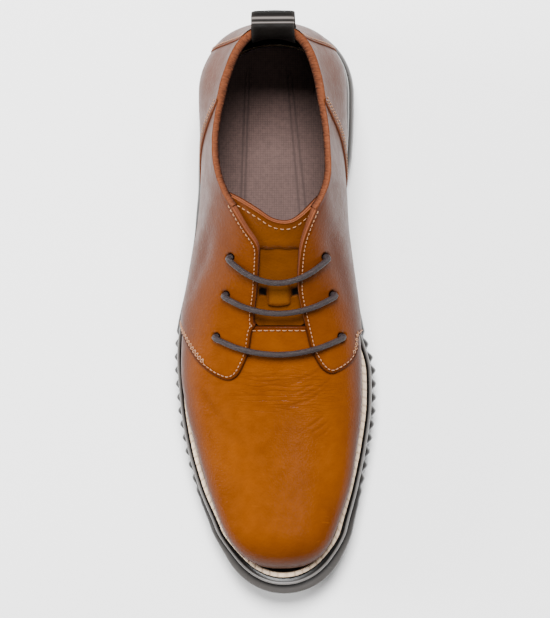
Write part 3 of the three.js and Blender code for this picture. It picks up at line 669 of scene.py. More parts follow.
def publish(name: str, data: MeshData, material: Material, slot: str, *nodes: str) -> None:
    """Writes a piece at the origin, in metres and shaded smooth, and ties it to the frame.

    Args:
        name: Name of the piece.
        data: The mesh; a face's -1 corner marks a triangle.
        material: Its finish.
        slot: Name of its slot; not used.
        nodes: CAD nodes that it replaces.
    """
    faces = data.faces
    size = (faces >= 0).sum(axis=1)
    corners = faces[faces >= 0]
    mesh = bpy.data.meshes.new(name)
    mesh.vertices.add(len(data.points))
    mesh.vertices.foreach_set("co", (data.points * MM).astype(np.float32).ravel())
    mesh.loops.add(len(corners))
    mesh.loops.foreach_set("vertex_index", corners.astype(np.int32))
    mesh.polygons.add(len(faces))
    mesh.polygons.foreach_set("loop_start", np.concatenate([[0], np.cumsum(size)[:-1]]).astype(np.int32))
    mesh.update(calc_edges=True)
    mesh.validate()
    for key, value in data.values.items():
        layer = mesh.attributes.new(key, "FLOAT", "POINT")
        layer.data.foreach_set("value", value.astype(np.float32))
    mesh.shade_smooth()
    mesh.materials.append(material)
    obj = bpy.data.objects.new(name, mesh)
    bpy.context.scene.collection.objects.link(obj)
    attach(obj, "root")
    if nodes:
        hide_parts(*nodes)
    LOG.info("%s: %d faces", name, len(mesh.polygons))


def tube(path: Array, radius: float, sides: int) -> MeshData:
    """Round tube along a path, carried along without twist and closed with a fan at both ends.

    Args:
        path: (n, 3) points.
        radius: Its radius.
        sides: Corners of the section.

    Returns:
        The mesh, with the run along the path as value "run" and the turn as value "round".
    """
    tangent = unit(np.gradient(path, axis=0))
    side = unit(np.cross(tangent, np.array([0.0, 0.0, 1.0])) + 1e-6)
    up = unit(np.cross(side, tangent))
    turn = 2 * np.pi * np.arange(sides) / sides
    ring = np.cos(turn)[None, :, None] * side[:, None] + np.sin(turn)[None, :, None] * up[:, None]
    points = np.vstack([(path[:, None] + radius * ring).reshape(-1, 3), path[:1], path[-1:]])
    j = np.arange(sides)
    k = (j + 1) % sides
    base = (len(path) - 1) * sides
    first, last = base + sides, base + sides + 1
    gap = np.full(sides, -1)
    start_cap = np.stack([np.full(sides, first), k, j, gap], axis=1)
    end_cap = np.stack([np.full(sides, last), base + j, base + k, gap], axis=1)
    faces = np.vstack([grid_faces(len(path), sides, wrap=True), start_cap, end_cap])
    ends = [0.0, 0.0]
    run = np.concatenate([np.repeat(run_along(path), sides), ends])
    return MeshData(points, faces, {"run": run, "round": np.concatenate([np.tile(turn, len(path)), ends])})


@dataclass(frozen=True)
class Thread:
    """A sewing thread: its stitch, the distance between starts, and how deep and high it lies."""

    length: float = 1.75
    pitch: float = 2.35
    radius: float = 0.28
    sunk: float = 0.1
    rise: float = 0.24


LONG_THREAD = Thread(2.3, 3.1, 0.31, 0.1, 0.25)
CHAIN_STEP = 0.8


def stitches(track: Array, normal: Array, thread: Thread) -> MeshData:
    """Stitches in a row along a track.

    Each is a bent sausage: seven rings of six corners whose middle stands out of the leather
    and whose ends dip into it.

    Args:
        track: (n, 3) line on the surface.
        normal: (n, 3) way out of the surface.
        thread: The thread.

    Returns:
        One mesh of all stitches.
    """
    run = run_along(track)
    starts = np.arange(0.3, run[-1] - thread.length, thread.pitch)
    if len(starts) == 0:
        return MeshData(np.zeros((0, 3)), np.zeros((0, 4), dtype=int))
    rings, sides = 7, 6
    t = np.linspace(0, 1, rings)
    place = starts[:, None] + t * thread.length
    at = np.stack([np.interp(place, run, track[:, k]) for k in range(3)], axis=-1)
    up = unit(np.stack([np.interp(place, run, normal[:, k]) for k in range(3)], axis=-1))
    tangent = unit(np.gradient(at, axis=1))
    side = unit(np.cross(tangent, up))
    lift = thread.rise * np.sin(np.pi * t) - thread.sunk - 0.5 * thread.radius * (1 - np.sin(np.pi * t))
    at = at + up * lift[None, :, None]
    radius = thread.radius * (0.45 + 0.55 * np.sin(np.pi * t) ** 0.4)
    turn = 2 * np.pi * np.arange(sides) / sides
    ring = (
        np.cos(turn)[None, None, :, None] * side[:, :, None]
        + np.sin(turn)[None, None, :, None] * up[:, :, None]
    )
    points = (at[:, :, None] + radius[None, :, None, None] * ring).reshape(-1, 3)
    one = grid_faces(rings, sides, wrap=True, flip=True)
    offset = (np.arange(len(starts)) * rings * sides)[:, None, None]
    faces = (one[None] + offset).reshape(-1, 4)
    return MeshData(points, faces)


def zigzag(track: Array, normal: Array, wide: float, step: float) -> MeshData:
    """Bar tack: straight stitches that swing from side to side of a track.

    The corners lie a step apart along the track and half the width to one side and the other.

    Args:
        track: (n, 3) middle line on the surface.
        normal: (n, 3) way out of the surface.
        wide: Width of the tack.
        step: Distance along the track between corners.

    Returns:
        One mesh of all stitches.
    """
    base = spaced(np.hstack([track, normal]), step)
    middle, up = base[:, :3], unit(base[:, 3:])
    side = unit(np.cross(unit(np.gradient(middle, axis=0)), up))
    swing = np.where(np.arange(len(base)) % 2 == 0, 0.5, -0.5) * wide
    leg = math.hypot(wide, step)
    return stitches(middle + side * swing[:, None], up, Thread(leg - 0.15, leg, 0.3, 0.1, 0.24))


# Panels of the upper


def beside_seam(area: Field, dark: float, fade: float) -> Field:
    """Painted shadow just outside the area of a piece on top: a bell curve of the distance from it."""
    return lambda p: dark * np.exp(-((np.maximum(-area(p), 0) / fade) ** 2))


@dataclass
class Chain:
    """An ordered line in turn and level along a panel's edge."""

    turn: Array
    level: Array


@dataclass
class Panel:
    """A piece of leather cut from the upper's surface along an outline.

    Args:
        last: The surface.
        area: Distance in from the outline for (n, 3) points, positive inside.
        off: How far the panel lies off the surface.
        turn_range: Turns that the grid spans, in radians.
        level_range: Levels that the grid spans.
        fineness: Share of the usual number of rows and columns.
        shade: Painted shadow beside a seam.
        rise: Extra height along the normal.
        seams: Distances in from the cut of its rows of stitches.
        turns: Columns of a panel that goes all round.
        levels: Rows of a panel from foot to collar.
        least: Fewest rows or columns, and fewest points of a chain.
    """

    last: Last
    area: Field
    off: float
    turn_range: Pair
    level_range: Pair
    fineness: float = 1.0
    shade: Field | None = None
    rise: Field | None = None
    seams: tuple[float, ...] = ()
    turns: int = 440
    levels: int = 250
    least: int = 12
    turn: Array = field(init=False)
    level: Array = field(init=False)

    def __post_init__(self) -> None:
        """Lays out the grid's turns and levels."""
        share = (self.turn_range[1] - self.turn_range[0]) / (2 * np.pi)
        columns = max(self.least, int(self.turns * self.fineness * share))
        self.turn = np.linspace(*self.turn_range, columns)
        share = (self.level_range[1] - self.level_range[0]) / COLLAR_LEVEL
        rows = max(self.least, int(self.levels * self.fineness * share))
        self.level = np.linspace(*self.level_range, rows)

    def pull(self, turn: Array, level: Array, inset: float) -> tuple[Array, Array]:
        """Moves places onto the outline by Newton steps along the area's slope."""
        lo, hi = self.level[0], self.level[-1]
        scale_turn, scale_level = 60.0, 8.0
        for _ in range(6):
            e = 0.004
            g = self.area(self.last.skin(turn, level)) - inset
            gu = (self.area(self.last.skin(turn + e, level)) - inset - g) / e / scale_turn
            up = np.where(level > hi - 0.05, -0.03, 0.03)
            gv = (self.area(self.last.skin(turn, level + up)) - inset - g) / up / scale_level
            size = np.maximum(gu * gu + gv * gv, 0.02)
            step = np.clip(g / size, -4.0, 4.0)
            turn = turn - step * gu / scale_turn
            level = np.clip(level - step * gv / scale_level, lo, hi)
        return turn, level

    def cut(self, inset: float) -> tuple[Array, Array, Array, Array]:
        """Cuts the grid along the outline.

        Args:
            inset: How far inside the outline the cut runs.

        Returns:
            Turn and level of each kept point, the faces, and which points lie on the cut.
        """
        u, v = np.meshgrid(self.turn, self.level)
        rows, columns = u.shape
        u, v = u.ravel(), v.ravel()
        inside = self.area(self.last.skin(u, v)) > inset
        faces = grid_faces(rows, columns)
        keep = inside[faces].any(axis=1)
        faces = faces[keep]
        used = np.zeros(len(u), dtype=bool)
        used[faces.ravel()] = True
        moved = used & ~inside
        u[moved], v[moved] = self.pull(u[moved], v[moved], inset)
        number = np.cumsum(used) - 1
        return u[used], v[used], number[faces], moved[used]

    def edge(self, faces: Array, cut: Array, turn: Array, level: Array) -> list[Chain]:
        """Chains of points along the cut, in order."""
        pairs = np.vstack([faces[:, [k, (k + 1) % 4]] for k in range(4)])
        key = np.sort(pairs, axis=1)
        _, first, count = np.unique(key, axis=0, return_index=True, return_counts=True)
        border = pairs[first[count == 1]]
        border = border[cut[border].all(axis=1)]
        follow = {int(a): int(b) for a, b in border}
        starts = set(follow) - set(follow.values())
        chains = []
        seen: set[int] = set()
        for start in list(starts) + list(follow):
            if start in seen or start not in follow:
                continue
            line = [start]
            seen.add(start)
            while line[-1] in follow and follow[line[-1]] not in seen:
                line.append(follow[line[-1]])
                seen.add(line[-1])
            if len(line) >= self.least:
                index = np.array(line)
                chains.append(Chain(turn[index], level[index]))
        return chains

    def even(self, chain: Chain, step: float) -> Chain:
        """The chain with points a step apart, smoothed over three neighbours."""
        points = self.last.skin(chain.turn, chain.level)
        run = run_along(points)
        at = np.linspace(0, run[-1], max(4, int(run[-1] / step)))
        turn = np.interp(at, run, chain.turn)
        level = np.interp(at, run, chain.level)
        for _ in range(3):
            turn[1:-1] = 0.25 * turn[:-2] + 0.5 * turn[1:-1] + 0.25 * turn[2:]
            level[1:-1] = 0.25 * level[:-2] + 0.5 * level[1:-1] + 0.25 * level[2:]
        return Chain(turn, level)

    def inward(self, p: Array, n: Array) -> Array:
        """Way into the panel along the surface, at points of a chain."""
        side = np.cross(n, unit(np.gradient(p, axis=0)))
        probe = self.area(p + side * 0.5) - self.area(p - side * 0.5)
        return side * np.where(np.median(probe) >= 0, 1.0, -1.0)

    def beside(self, chain: Chain, inset: float) -> Chain:
        """The chain moved over the surface, inward from the cut.

        The move is split into turn and level by the surface's two tangents.
        """
        p, du, dv, n = self.last.frame(chain.turn, chain.level)
        want = self.inward(p, n) * inset
        uu = (du * du).sum(-1)
        vv = (dv * dv).sum(-1)
        uv = (du * dv).sum(-1)
        a = (want * du).sum(-1)
        b = (want * dv).sum(-1)
        det = np.maximum(uu * vv - uv * uv, 1e-6)
        turn = chain.turn + (a * vv - b * uv) / det
        level = chain.level + (b * uu - a * uv) / det
        return Chain(turn, np.clip(level, 0.0, TOP_LEVEL))

    def surface(self, inset: float, relief: Relief | None) -> tuple[MeshData, list[Chain]]:
        """The panel's face, and the chains along its cut.

        The face rolls down at the cut, sinks under each row of stitches and into each hole, and
        is darkened where it is steep or low, partly as burnish and partly as painted shade.

        Args:
            inset: How far inside the outline the cut runs.
            relief: Relief of the leather, if it has any.

        Returns:
            The mesh with its values, and the chains.
        """
        turn, level, faces, cut = self.cut(inset)
        p, _, _, n = self.last.frame(turn, level)
        height, crease = relief.height(p) if relief else (np.zeros(len(p)), np.zeros(len(p)))
        pit = relief.pits(p) if relief else np.zeros(len(p))
        depth = self.area(p)
        roll = -0.3 * np.exp(-np.maximum(depth - inset, 0) / 0.6)
        channel = np.zeros(len(p))
        for seam in self.seams:
            channel = np.maximum(channel, np.exp(-(((depth - seam) / 0.5) ** 2)))
        rise = self.rise(p) if self.rise else 0.0
        points = p + n * (self.off + height + rise + roll - 1.2 * pit - 0.1 * channel)[:, None]
        lift = p[:, 2] - self.last.sole.foot(p[:, 1])
        # darker where the face turns away from up and near its foot: partly burnish, partly painted shade
        # on the sides
        burn = np.maximum(ramp((0.98 - n[:, 2]) / 0.68), 0.95 * ramp((27.0 - lift) / 22.0))
        values = {
            "edge": np.exp(-np.maximum(depth, 0) / 1.6),
            # painted shade in the creases and the stitch channels
            "crease": np.maximum(crease, 0.8 * channel),
            "raw": np.zeros(len(p)),
            "burn": burn,
            # painted shade in the lace holes and beside the seams of pieces lying on top
            "dark": np.maximum(pit, self.shade(p)) if self.shade else pit,
            "wrinkle": self.wrinkled(p),
        }
        return MeshData(points, faces, values), self.edge(faces, cut, turn, level)

    @staticmethod
    def wrinkled(p: Array) -> Array:
        """Share of the fine wrinkles: flat-topped bells over the bend of the toes and the ankle."""
        bend = np.exp(-(((p[:, 0] - 6.0) / 27.0) ** 4) - ((p[:, 1] + 44.0) / 12.0) ** 4)
        ankle = 0.5 * np.exp(-(((p[:, 1] - 38.0) / 26.0) ** 4) - ((p[:, 2] - 72.0) / 24.0) ** 4)
        return np.where(p[:, 2] > 30.0, np.maximum(bend, np.where(np.abs(p[:, 0] - 2) > 22, ankle, 0)), 0.0)

    def skirt(self, chain: Chain, inset: float, down: float, relief: Relief | None) -> MeshData:
        """Rounded raw edge along a cut, from the face over the edge and down.

        Args:
            chain: The cut.
            inset: How far inside the outline the cut runs.
            down: Offset of its lowest row from the surface.
            relief: Relief of the face.

        Returns:
            A strip whose value "raw" is 1 on the cut leather.
        """
        even = self.even(chain, CHAIN_STEP)
        p, _, _, n = self.last.frame(even.turn, even.level)
        side = self.inward(p, n)
        height = relief.height(p)[0] if relief else np.zeros(len(p))
        # distance inward, height, share of raw leather
        rows = (
            (0.35, -0.02, 0), (0, -0.02, 0),
            (-0.55 * inset, -0.07, 0.4),
            (-0.85 * inset, -0.2, 0.9),
            (-inset, -0.42, 1.0),
        )
        grid = [p + side * a + n * (self.off + b + height)[:, None] for a, b, _ in rows]
        raw = [np.full(len(p), c) for _, _, c in rows]
        dark = [np.zeros(len(p)) for _ in rows]
        # a thick cut shows the dark line between leather and lining: depth, darkness
        layers = ((1.0, 0.0), (1.2, 0.75), (1.45, 0.1)) if self.off - down > 1.9 else ()
        for drop, shade in layers:
            grid.append(p + side * -inset + n * (self.off + height - drop)[:, None])
            raw.append(np.full(len(p), 1.0))
            dark.append(np.full(len(p), shade))
        # the lowest row gets painted shade at the foot of the edge
        grid.append(p + side * -inset + n * down)
        raw.append(np.full(len(p), 1.0))
        dark.append(np.full(len(p), 0.5))
        points = np.vstack(grid)
        probe_way = np.cross(grid[1][1:] - grid[1][:-1], grid[2][:-1] - grid[1][:-1])
        flip = float(np.median((probe_way * n[:-1]).sum(-1))) < 0
        faces = grid_faces(len(grid), len(p), flip=flip)
        # the raw cut darkens on the tabs' lower edges: partly burnish, partly a painted shadow line
        low = ramp((-4.0 - p[:, 1]) / 8.0)
        values = {
            "edge": np.ones(len(points)),
            "raw": np.concatenate(raw),
            "burn": np.tile(low, len(grid)),
            "dark": np.concatenate(dark),
        }
        return MeshData(points, faces, values)

    def track(self, chain: Chain, inset: float, off: float, ends: float = 3.0) -> tuple[Array, Array]:
        """Line on the panel beside its cut, for stitches.

        Args:
            chain: The cut.
            inset: Distance in from the cut.
            off: Distance off the surface.
            ends: Length left out at both ends.

        Returns:
            Points of the line and the ways out of the surface.
        """
        side = self.beside(self.even(chain, CHAIN_STEP), inset)
        p, _, _, n = self.last.frame(side.turn, side.level)
        trim = int(ends / CHAIN_STEP)
        return (p + n * off)[trim : len(p) - trim], n[trim : len(p) - trim]


# Finishes


@dataclass
class Nodes:
    """Short hand to build a node tree."""

    tree: Tree

    def add(self, kind: str, settings: dict | None = None, **inputs: object) -> Node:
        """Adds a node.

        Args:
            kind: Its type.
            settings: Properties of the node.
            inputs: Values or sockets for its inputs; in_N is the input of that number.

        Returns:
            The node.
        """
        node = self.tree.nodes.new(kind)
        for key, value in (settings or {}).items():
            setattr(node, key, value)
        for key, value in inputs.items():
            label = int(key[3:]) if key.startswith("in_") else key.replace("_", " ")
            socket = node.inputs[label]
            if isinstance(value, bpy.types.NodeSocket):
                self.tree.links.new(value, socket)
            else:
                socket.default_value = value
        return node

    def math(self, operation: str, a: object, b: object = 0.0) -> Socket:
        """A math node's result."""
        return self.add("ShaderNodeMath", {"operation": operation}, in_0=a, in_1=b).outputs[0]

    def times(self, a: object, b: object) -> Socket:
        """Product of two values."""
        return self.math("MULTIPLY", a, b)

    def plus(self, a: object, b: object) -> Socket:
        """Sum of two values."""
        return self.math("ADD", a, b)

    def noise(self, place: Socket, scale: object, **inputs: object) -> Socket:
        """A noise texture's value."""
        return self.add("ShaderNodeTexNoise", None, Vector=place, Scale=scale, **inputs).outputs[0]

    def turned(self, place: Socket, turn: Triple, scale: Triple) -> Socket:
        """A place turned and then scaled."""
        return self.add("ShaderNodeMapping", None, Vector=place, Rotation=turn, Scale=scale).outputs[0]

    def effect(self, tree: Tree, place: Socket, **inputs: object) -> Node:
        """A shared effect."""
        return self.add("ShaderNodeGroup", {"node_tree": tree}, Place=place, **inputs)

    def bump(self, strength: float, distance: float, height: Socket) -> Socket:
        """The normal of a bump."""
        node = self.add("ShaderNodeBump", None, Strength=strength, Distance=distance, Height=height)
        return node.outputs[0]

    def surface(self, **inputs: object) -> None:
        """Adds the shader with these inputs and the material's output."""
        shader = self.add("ShaderNodeBsdfPrincipled", None, **inputs)
        self.add("ShaderNodeOutputMaterial", None, Surface=shader.outputs[0])

    def blend(self, factor: object, a: object, b: object) -> Socket:
        """A colour mix's result."""
        settings = {"data_type": "RGBA", "blend_type": "MIX"}
        return self.add("ShaderNodeMix", settings, in_0=factor, in_6=a, in_7=b).outputs[2]

    def ramp(self, value: object, stops: tuple[Pair, ...]) -> Socket:
        """Grey ramp of a value."""
        node = self.add("ShaderNodeValToRGB", None, in_0=value)
        line = node.color_ramp
        while len(line.elements) < len(stops):
            line.elements.new(0.5)
        for element, (place, grey) in zip(line.elements, stops):
            element.position = place
            element.color = (grey, grey, grey, 1.0)
        return node.outputs[0]

    def value(self, name: str) -> Socket:
        """A mesh value."""
        return self.add("ShaderNodeAttribute", {"attribute_name": name}).outputs["Fac"]


Opened = tuple[Nodes, Node, Node]


def new_material(name: str) -> tuple[Material, Nodes, Socket]:
    """Empty material, its nodes and the object's own coordinates."""
    material = bpy.data.materials.new(name)
    material.use_nodes = True
    material.node_tree.nodes.clear()
    make = Nodes(material.node_tree)
    return material, make, make.add("ShaderNodeTexCoord").outputs["Object"]


@dataclass
class Groups:
    """Shared effects as node groups that give masks and values."""

    grain: Tree = field(init=False)
    mottle: Tree = field(init=False)
    scuff: Tree = field(init=False)
    wrinkle: Tree = field(init=False)
    weave: Tree = field(init=False)

    def __post_init__(self) -> None:
        """Builds every group once."""
        self.grain = self._grain()
        self.mottle = self._mottle()
        self.scuff = self._scuff()
        self.wrinkle = self._wrinkle()
        self.weave = self._weave()

    @staticmethod
    def _start(name: str, ins: tuple[tuple[str, float], ...], outs: tuple[str, ...]) -> Opened:
        """Opens an empty group.

        Args:
            name: Name of the group.
            ins: Names and starting values of its float inputs, after the input for the place.
            outs: Names of its float outputs.

        Returns:
            The group's nodes, its input node and its output node.
        """
        tree = bpy.data.node_groups.new(name, "ShaderNodeTree")
        tree.interface.new_socket("Place", in_out="INPUT", socket_type="NodeSocketVector")
        for label, start in ins:
            socket = tree.interface.new_socket(label, in_out="INPUT", socket_type="NodeSocketFloat")
            socket.default_value = start
        for label in outs:
            tree.interface.new_socket(label, in_out="OUTPUT", socket_type="NodeSocketFloat")
        make = Nodes(tree)
        return make, make.add("NodeGroupInput"), make.add("NodeGroupOutput")

    @staticmethod
    def _give(make: Nodes, result: Node, *values: Socket) -> Tree:
        """Links the values to the group's outputs and returns the group."""
        for socket, value in zip(result.inputs, values):
            make.tree.links.new(value, socket)
        return make.tree

    def _grain(self) -> Tree:
        """Fine pebble and pores of leather: cells of two sizes with a little noise."""
        make, given, result = self._start("leather_grain", (("Scale", 900.0),), ("Height", "Pores"))
        place, scale = given.outputs[0], given.outputs[1]
        cells = make.add("ShaderNodeTexVoronoi", {"feature": "F1"}, Vector=place, Scale=scale)
        fine_scale = make.times(scale, 2.3)
        fine = make.add("ShaderNodeTexVoronoi", {"feature": "F1"}, Vector=place, Scale=fine_scale)
        noise = make.noise(place, fine_scale, Detail=3.0)
        wide, narrow = cells.outputs["Distance"], fine.outputs["Distance"]
        height = make.plus(make.times(wide, 0.6), make.times(narrow, 0.3))
        height = make.plus(height, make.times(noise, 0.35))
        pores = make.ramp(narrow, ((0.0, 1.0), (0.16, 0.0)))
        return self._give(make, result, height, pores)

    def _mottle(self) -> Tree:
        """Slow and quick cloudy changes of tone."""
        make, given, result = self._start("leather_mottle", (("Scale", 28.0),), ("Slow", "Fast"))
        place, scale = given.outputs[0], given.outputs[1]
        slow = make.noise(place, scale, Detail=4.0, Roughness=0.6)
        fast = make.noise(place, make.times(scale, 7.0), Detail=5.0)
        clouds = make.ramp(slow, ((0.34, 0.0), (0.66, 1.0)))
        return self._give(make, result, clouds, make.ramp(fast, ((0.36, 0.0), (0.66, 1.0))))

    def _scuff(self) -> Tree:
        """Thin, stretched scratches that come in patches."""
        make, given, result = self._start("scuffs", (("Scale", 90.0), ("Amount", 0.5)), ("Mask",))
        place, scale, amount = given.outputs[0], given.outputs[1], given.outputs[2]
        turned = make.turned(place, (0.3, 0.5, 0.9), (1.0, 9.0, 3.0))
        lines = make.noise(turned, scale, Detail=3.0, Distortion=0.6)
        patch = make.noise(place, 22.0, Detail=2.0)
        thin = make.ramp(lines, ((0.66, 0.0), (0.72, 1.0)))
        where = make.ramp(patch, ((0.5, 0.0), (0.66, 1.0)))
        return self._give(make, result, make.times(make.times(thin, where), amount))

    def _wrinkle(self) -> Tree:
        """Fine slanting folds: the thin middle band of a noise stretched along the fold."""
        make, given, result = self._start("fine_folds", (("Scale", 230.0),), ("Mask",))
        turned = make.turned(given.outputs[0], (0.0, 0.0, -0.26), (0.2, 1.9, 0.5))
        noise = make.noise(turned, given.outputs[1], Detail=1.0, Distortion=0.2)
        off = make.math("ABSOLUTE", make.math("SUBTRACT", noise, 0.5))
        return self._give(make, result, make.ramp(off, ((0.0, 1.0), (0.07, 0.0))))

    def _weave(self) -> Tree:
        """Over and under of a plain weave, from two crossed waves."""
        make, given, result = self._start("plain_weave", (("Scale", 900.0),), ("Height",))
        place, scale = given.outputs[0], given.outputs[1]
        warp = make.add("ShaderNodeTexWave", {"bands_direction": "X"}, Vector=place, Scale=scale)
        weft = make.add("ShaderNodeTexWave", {"bands_direction": "Y"}, Vector=place, Scale=scale)
        crossed = make.times(warp.outputs[1], weft.outputs[1])
        return self._give(make, result, make.plus(crossed, make.noise(place, 600.0, Detail=2.0)))


@dataclass(frozen=True)
class LeatherFinish:
    """Waxed leather: base, dark and light tones, raw cut colour, gloss, grain and scuffs."""

    base: Colour
    dark: Colour
    light: Colour
    raw: Colour
    rough: float = 0.4
    grain: float = 700.0
    bump: float = 0.00022
    coat: float = 0.1
    coat_rough: float = 0.2
    shine: float = 0.03
    scuff: float = 0.25

    def build(self, name: str, groups: Groups) -> Material:
        """Makes the material.

        Args:
            name: Name of the material.
            groups: Shared effects.

        Returns:
            The material; it reads mesh values for burnish and painted shade, edge, painted crease shade,
            wrinkles, wear and painted fold highlight, raw cut leather and darkness, which is mostly painted
            shade.
        """
        material, make, place = new_material(name)
        grain = make.effect(groups.grain, place, Scale=self.grain)
        mottle = make.effect(groups.mottle, place, Scale=26.0)
        scuff = make.effect(groups.scuff, place, Amount=self.scuff)
        # partly burnish, partly painted shade on the steep sides, near the welt and on the tabs' cut edges
        burn = make.times(make.value("burn"), 0.95)
        tone = make.blend(make.times(mottle.outputs[0], 0.36), self.base, self.dark)
        tone = make.blend(make.times(mottle.outputs[1], 0.1), tone, self.light)
        tone = make.blend(burn, tone, self.dark)
        edge = make.ramp(make.value("edge"), ((0.1, 0.0), (0.9, 1.0)))
        tone = make.blend(make.times(edge, 0.7), tone, self.dark)
        # painted shade in creases, stitch channels and the welt's notches
        tone = make.blend(make.times(make.value("crease"), 0.5), tone, self.dark)
        tone = make.blend(make.times(grain.outputs[1], 0.2), tone, self.dark)
        tone = make.blend(scuff.outputs[0], tone, self.light)
        # painted highlight on the pull strap's fold lines
        tone = make.blend(make.value("worn"), tone, self.raw)
        raw, dark = make.value("raw"), make.value("dark")
        cut = make.blend(make.times(make.noise(place, 1400.0, Detail=2.0), 0.6), self.raw, self.dark)
        tone = make.blend(raw, tone, make.blend(burn, cut, self.dark))
        # near-black: painted shade in holes, slots, gaps and beside seams; at the collar and in thick cuts
        # it is the black lining layer and its frayed threads
        tone = make.blend(dark, tone, (0.004, 0.003, 0.003, 1.0))
        rough = make.plus(make.times(mottle.outputs[1], 0.08), self.rough)
        rough = make.plus(rough, make.times(raw, 0.35))
        rough = make.plus(rough, make.times(dark, 0.4))
        fold = make.times(make.effect(groups.wrinkle, place).outputs[0], make.value("wrinkle"))
        height = make.plus(grain.outputs[0], make.times(scuff.outputs[0], -0.5))
        height = make.math("SUBTRACT", height, make.times(fold, 0.8))
        normal = make.bump(0.6, self.bump, height)
        plain = make.math("SUBTRACT", 1.0, make.math("MAXIMUM", raw, dark))
        make.surface(
            # the fine folds get painted shade as well as a bump
            Base_Color=make.blend(make.times(fold, 0.22), tone, self.dark),
            Roughness=rough,
            Normal=normal,
            Coat_Weight=make.times(make.math("MAXIMUM", plain, 0.0), self.coat),
            Coat_Roughness=self.coat_rough,
            Coat_IOR=1.6,
            Coat_Normal=normal,
            Specular_IOR_Level=self.shine,
        )
        return material


@dataclass(frozen=True)
class RubberFinish:
    """Moulded rubber: colour, a lighter tone for wear and painted sheen, and gloss."""

    base: Colour
    worn: Colour
    rough: float = 0.4
    bump: float = 0.00005
    shine: float = 0.25

    def build(self, name: str, groups: Groups) -> Material:
        """Makes the material; it reads the mesh value tone as a mix towards the lighter tone, which paints
        highlight and reflection on the midsole and marks wear on the tread.
        """
        material, make, place = new_material(name)
        mottle = make.effect(groups.mottle, place, Scale=40.0)
        scuff = make.effect(groups.scuff, place, Amount=0.25)
        tone = make.blend(make.value("tone"), self.base, self.worn)
        tone = make.blend(make.times(mottle.outputs[1], 0.08), tone, self.base)
        height = make.plus(make.noise(place, 1500.0, Detail=3.0), make.times(scuff.outputs[0], -0.6))
        make.surface(
            Base_Color=make.blend(make.times(scuff.outputs[0], 0.5), tone, self.worn),
            Roughness=make.plus(make.times(mottle.outputs[0], 0.12), self.rough),
            Normal=make.bump(0.5, self.bump, height),
            Specular_IOR_Level=self.shine,
        )
        return material


@dataclass(frozen=True)
class ClothFinish:
    """Woven cloth or twisted thread: two tones and a weave."""

    base: Colour
    dark: Colour
    scale: float = 900.0
    rough: float = 0.85
    bump: float = 0.0002
    sheen: float = 0.2
    cloud: float = 0.15
    shine: float = 0.3

    def build(self, name: str, groups: Groups) -> Material:
        """Makes the material; the mesh value line paints shade into pressed lines and braid grooves."""
        material, make, place = new_material(name)
        weave = make.effect(groups.weave, place, Scale=self.scale)
        mottle = make.effect(groups.mottle, place, Scale=60.0)
        tone = make.blend(make.ramp(weave.outputs[0], ((0.0, 0.0), (1.0, 1.0))), self.dark, self.base)
        tone = make.blend(make.times(mottle.outputs[1], self.cloud), tone, self.dark)
        make.surface(
            Base_Color=make.blend(make.times(make.value("line"), 0.75), tone, self.dark),
            Roughness=self.rough,
            Normal=make.bump(0.7, self.bump, weave.outputs[0]),
            Sheen_Weight=self.sheen,
            Specular_IOR_Level=self.shine,
        )
        return material


class Finish(Enum):
    """Finishes of the boot's pieces."""

    UPPER = "tan_leather"
    TONGUE = "tongue_leather"
    KEEPER = "keeper_suede"
    LINING = "dark_lining"
    STRAP = "strap_leather"
    WELT = "welt_strip"
    SOLE = "sole_rubber"
    TREAD = "tread_rubber"
    THREAD = "cream_thread"
    LACE = "waxed_lace"
    FOOTBED = "footbed_cloth"


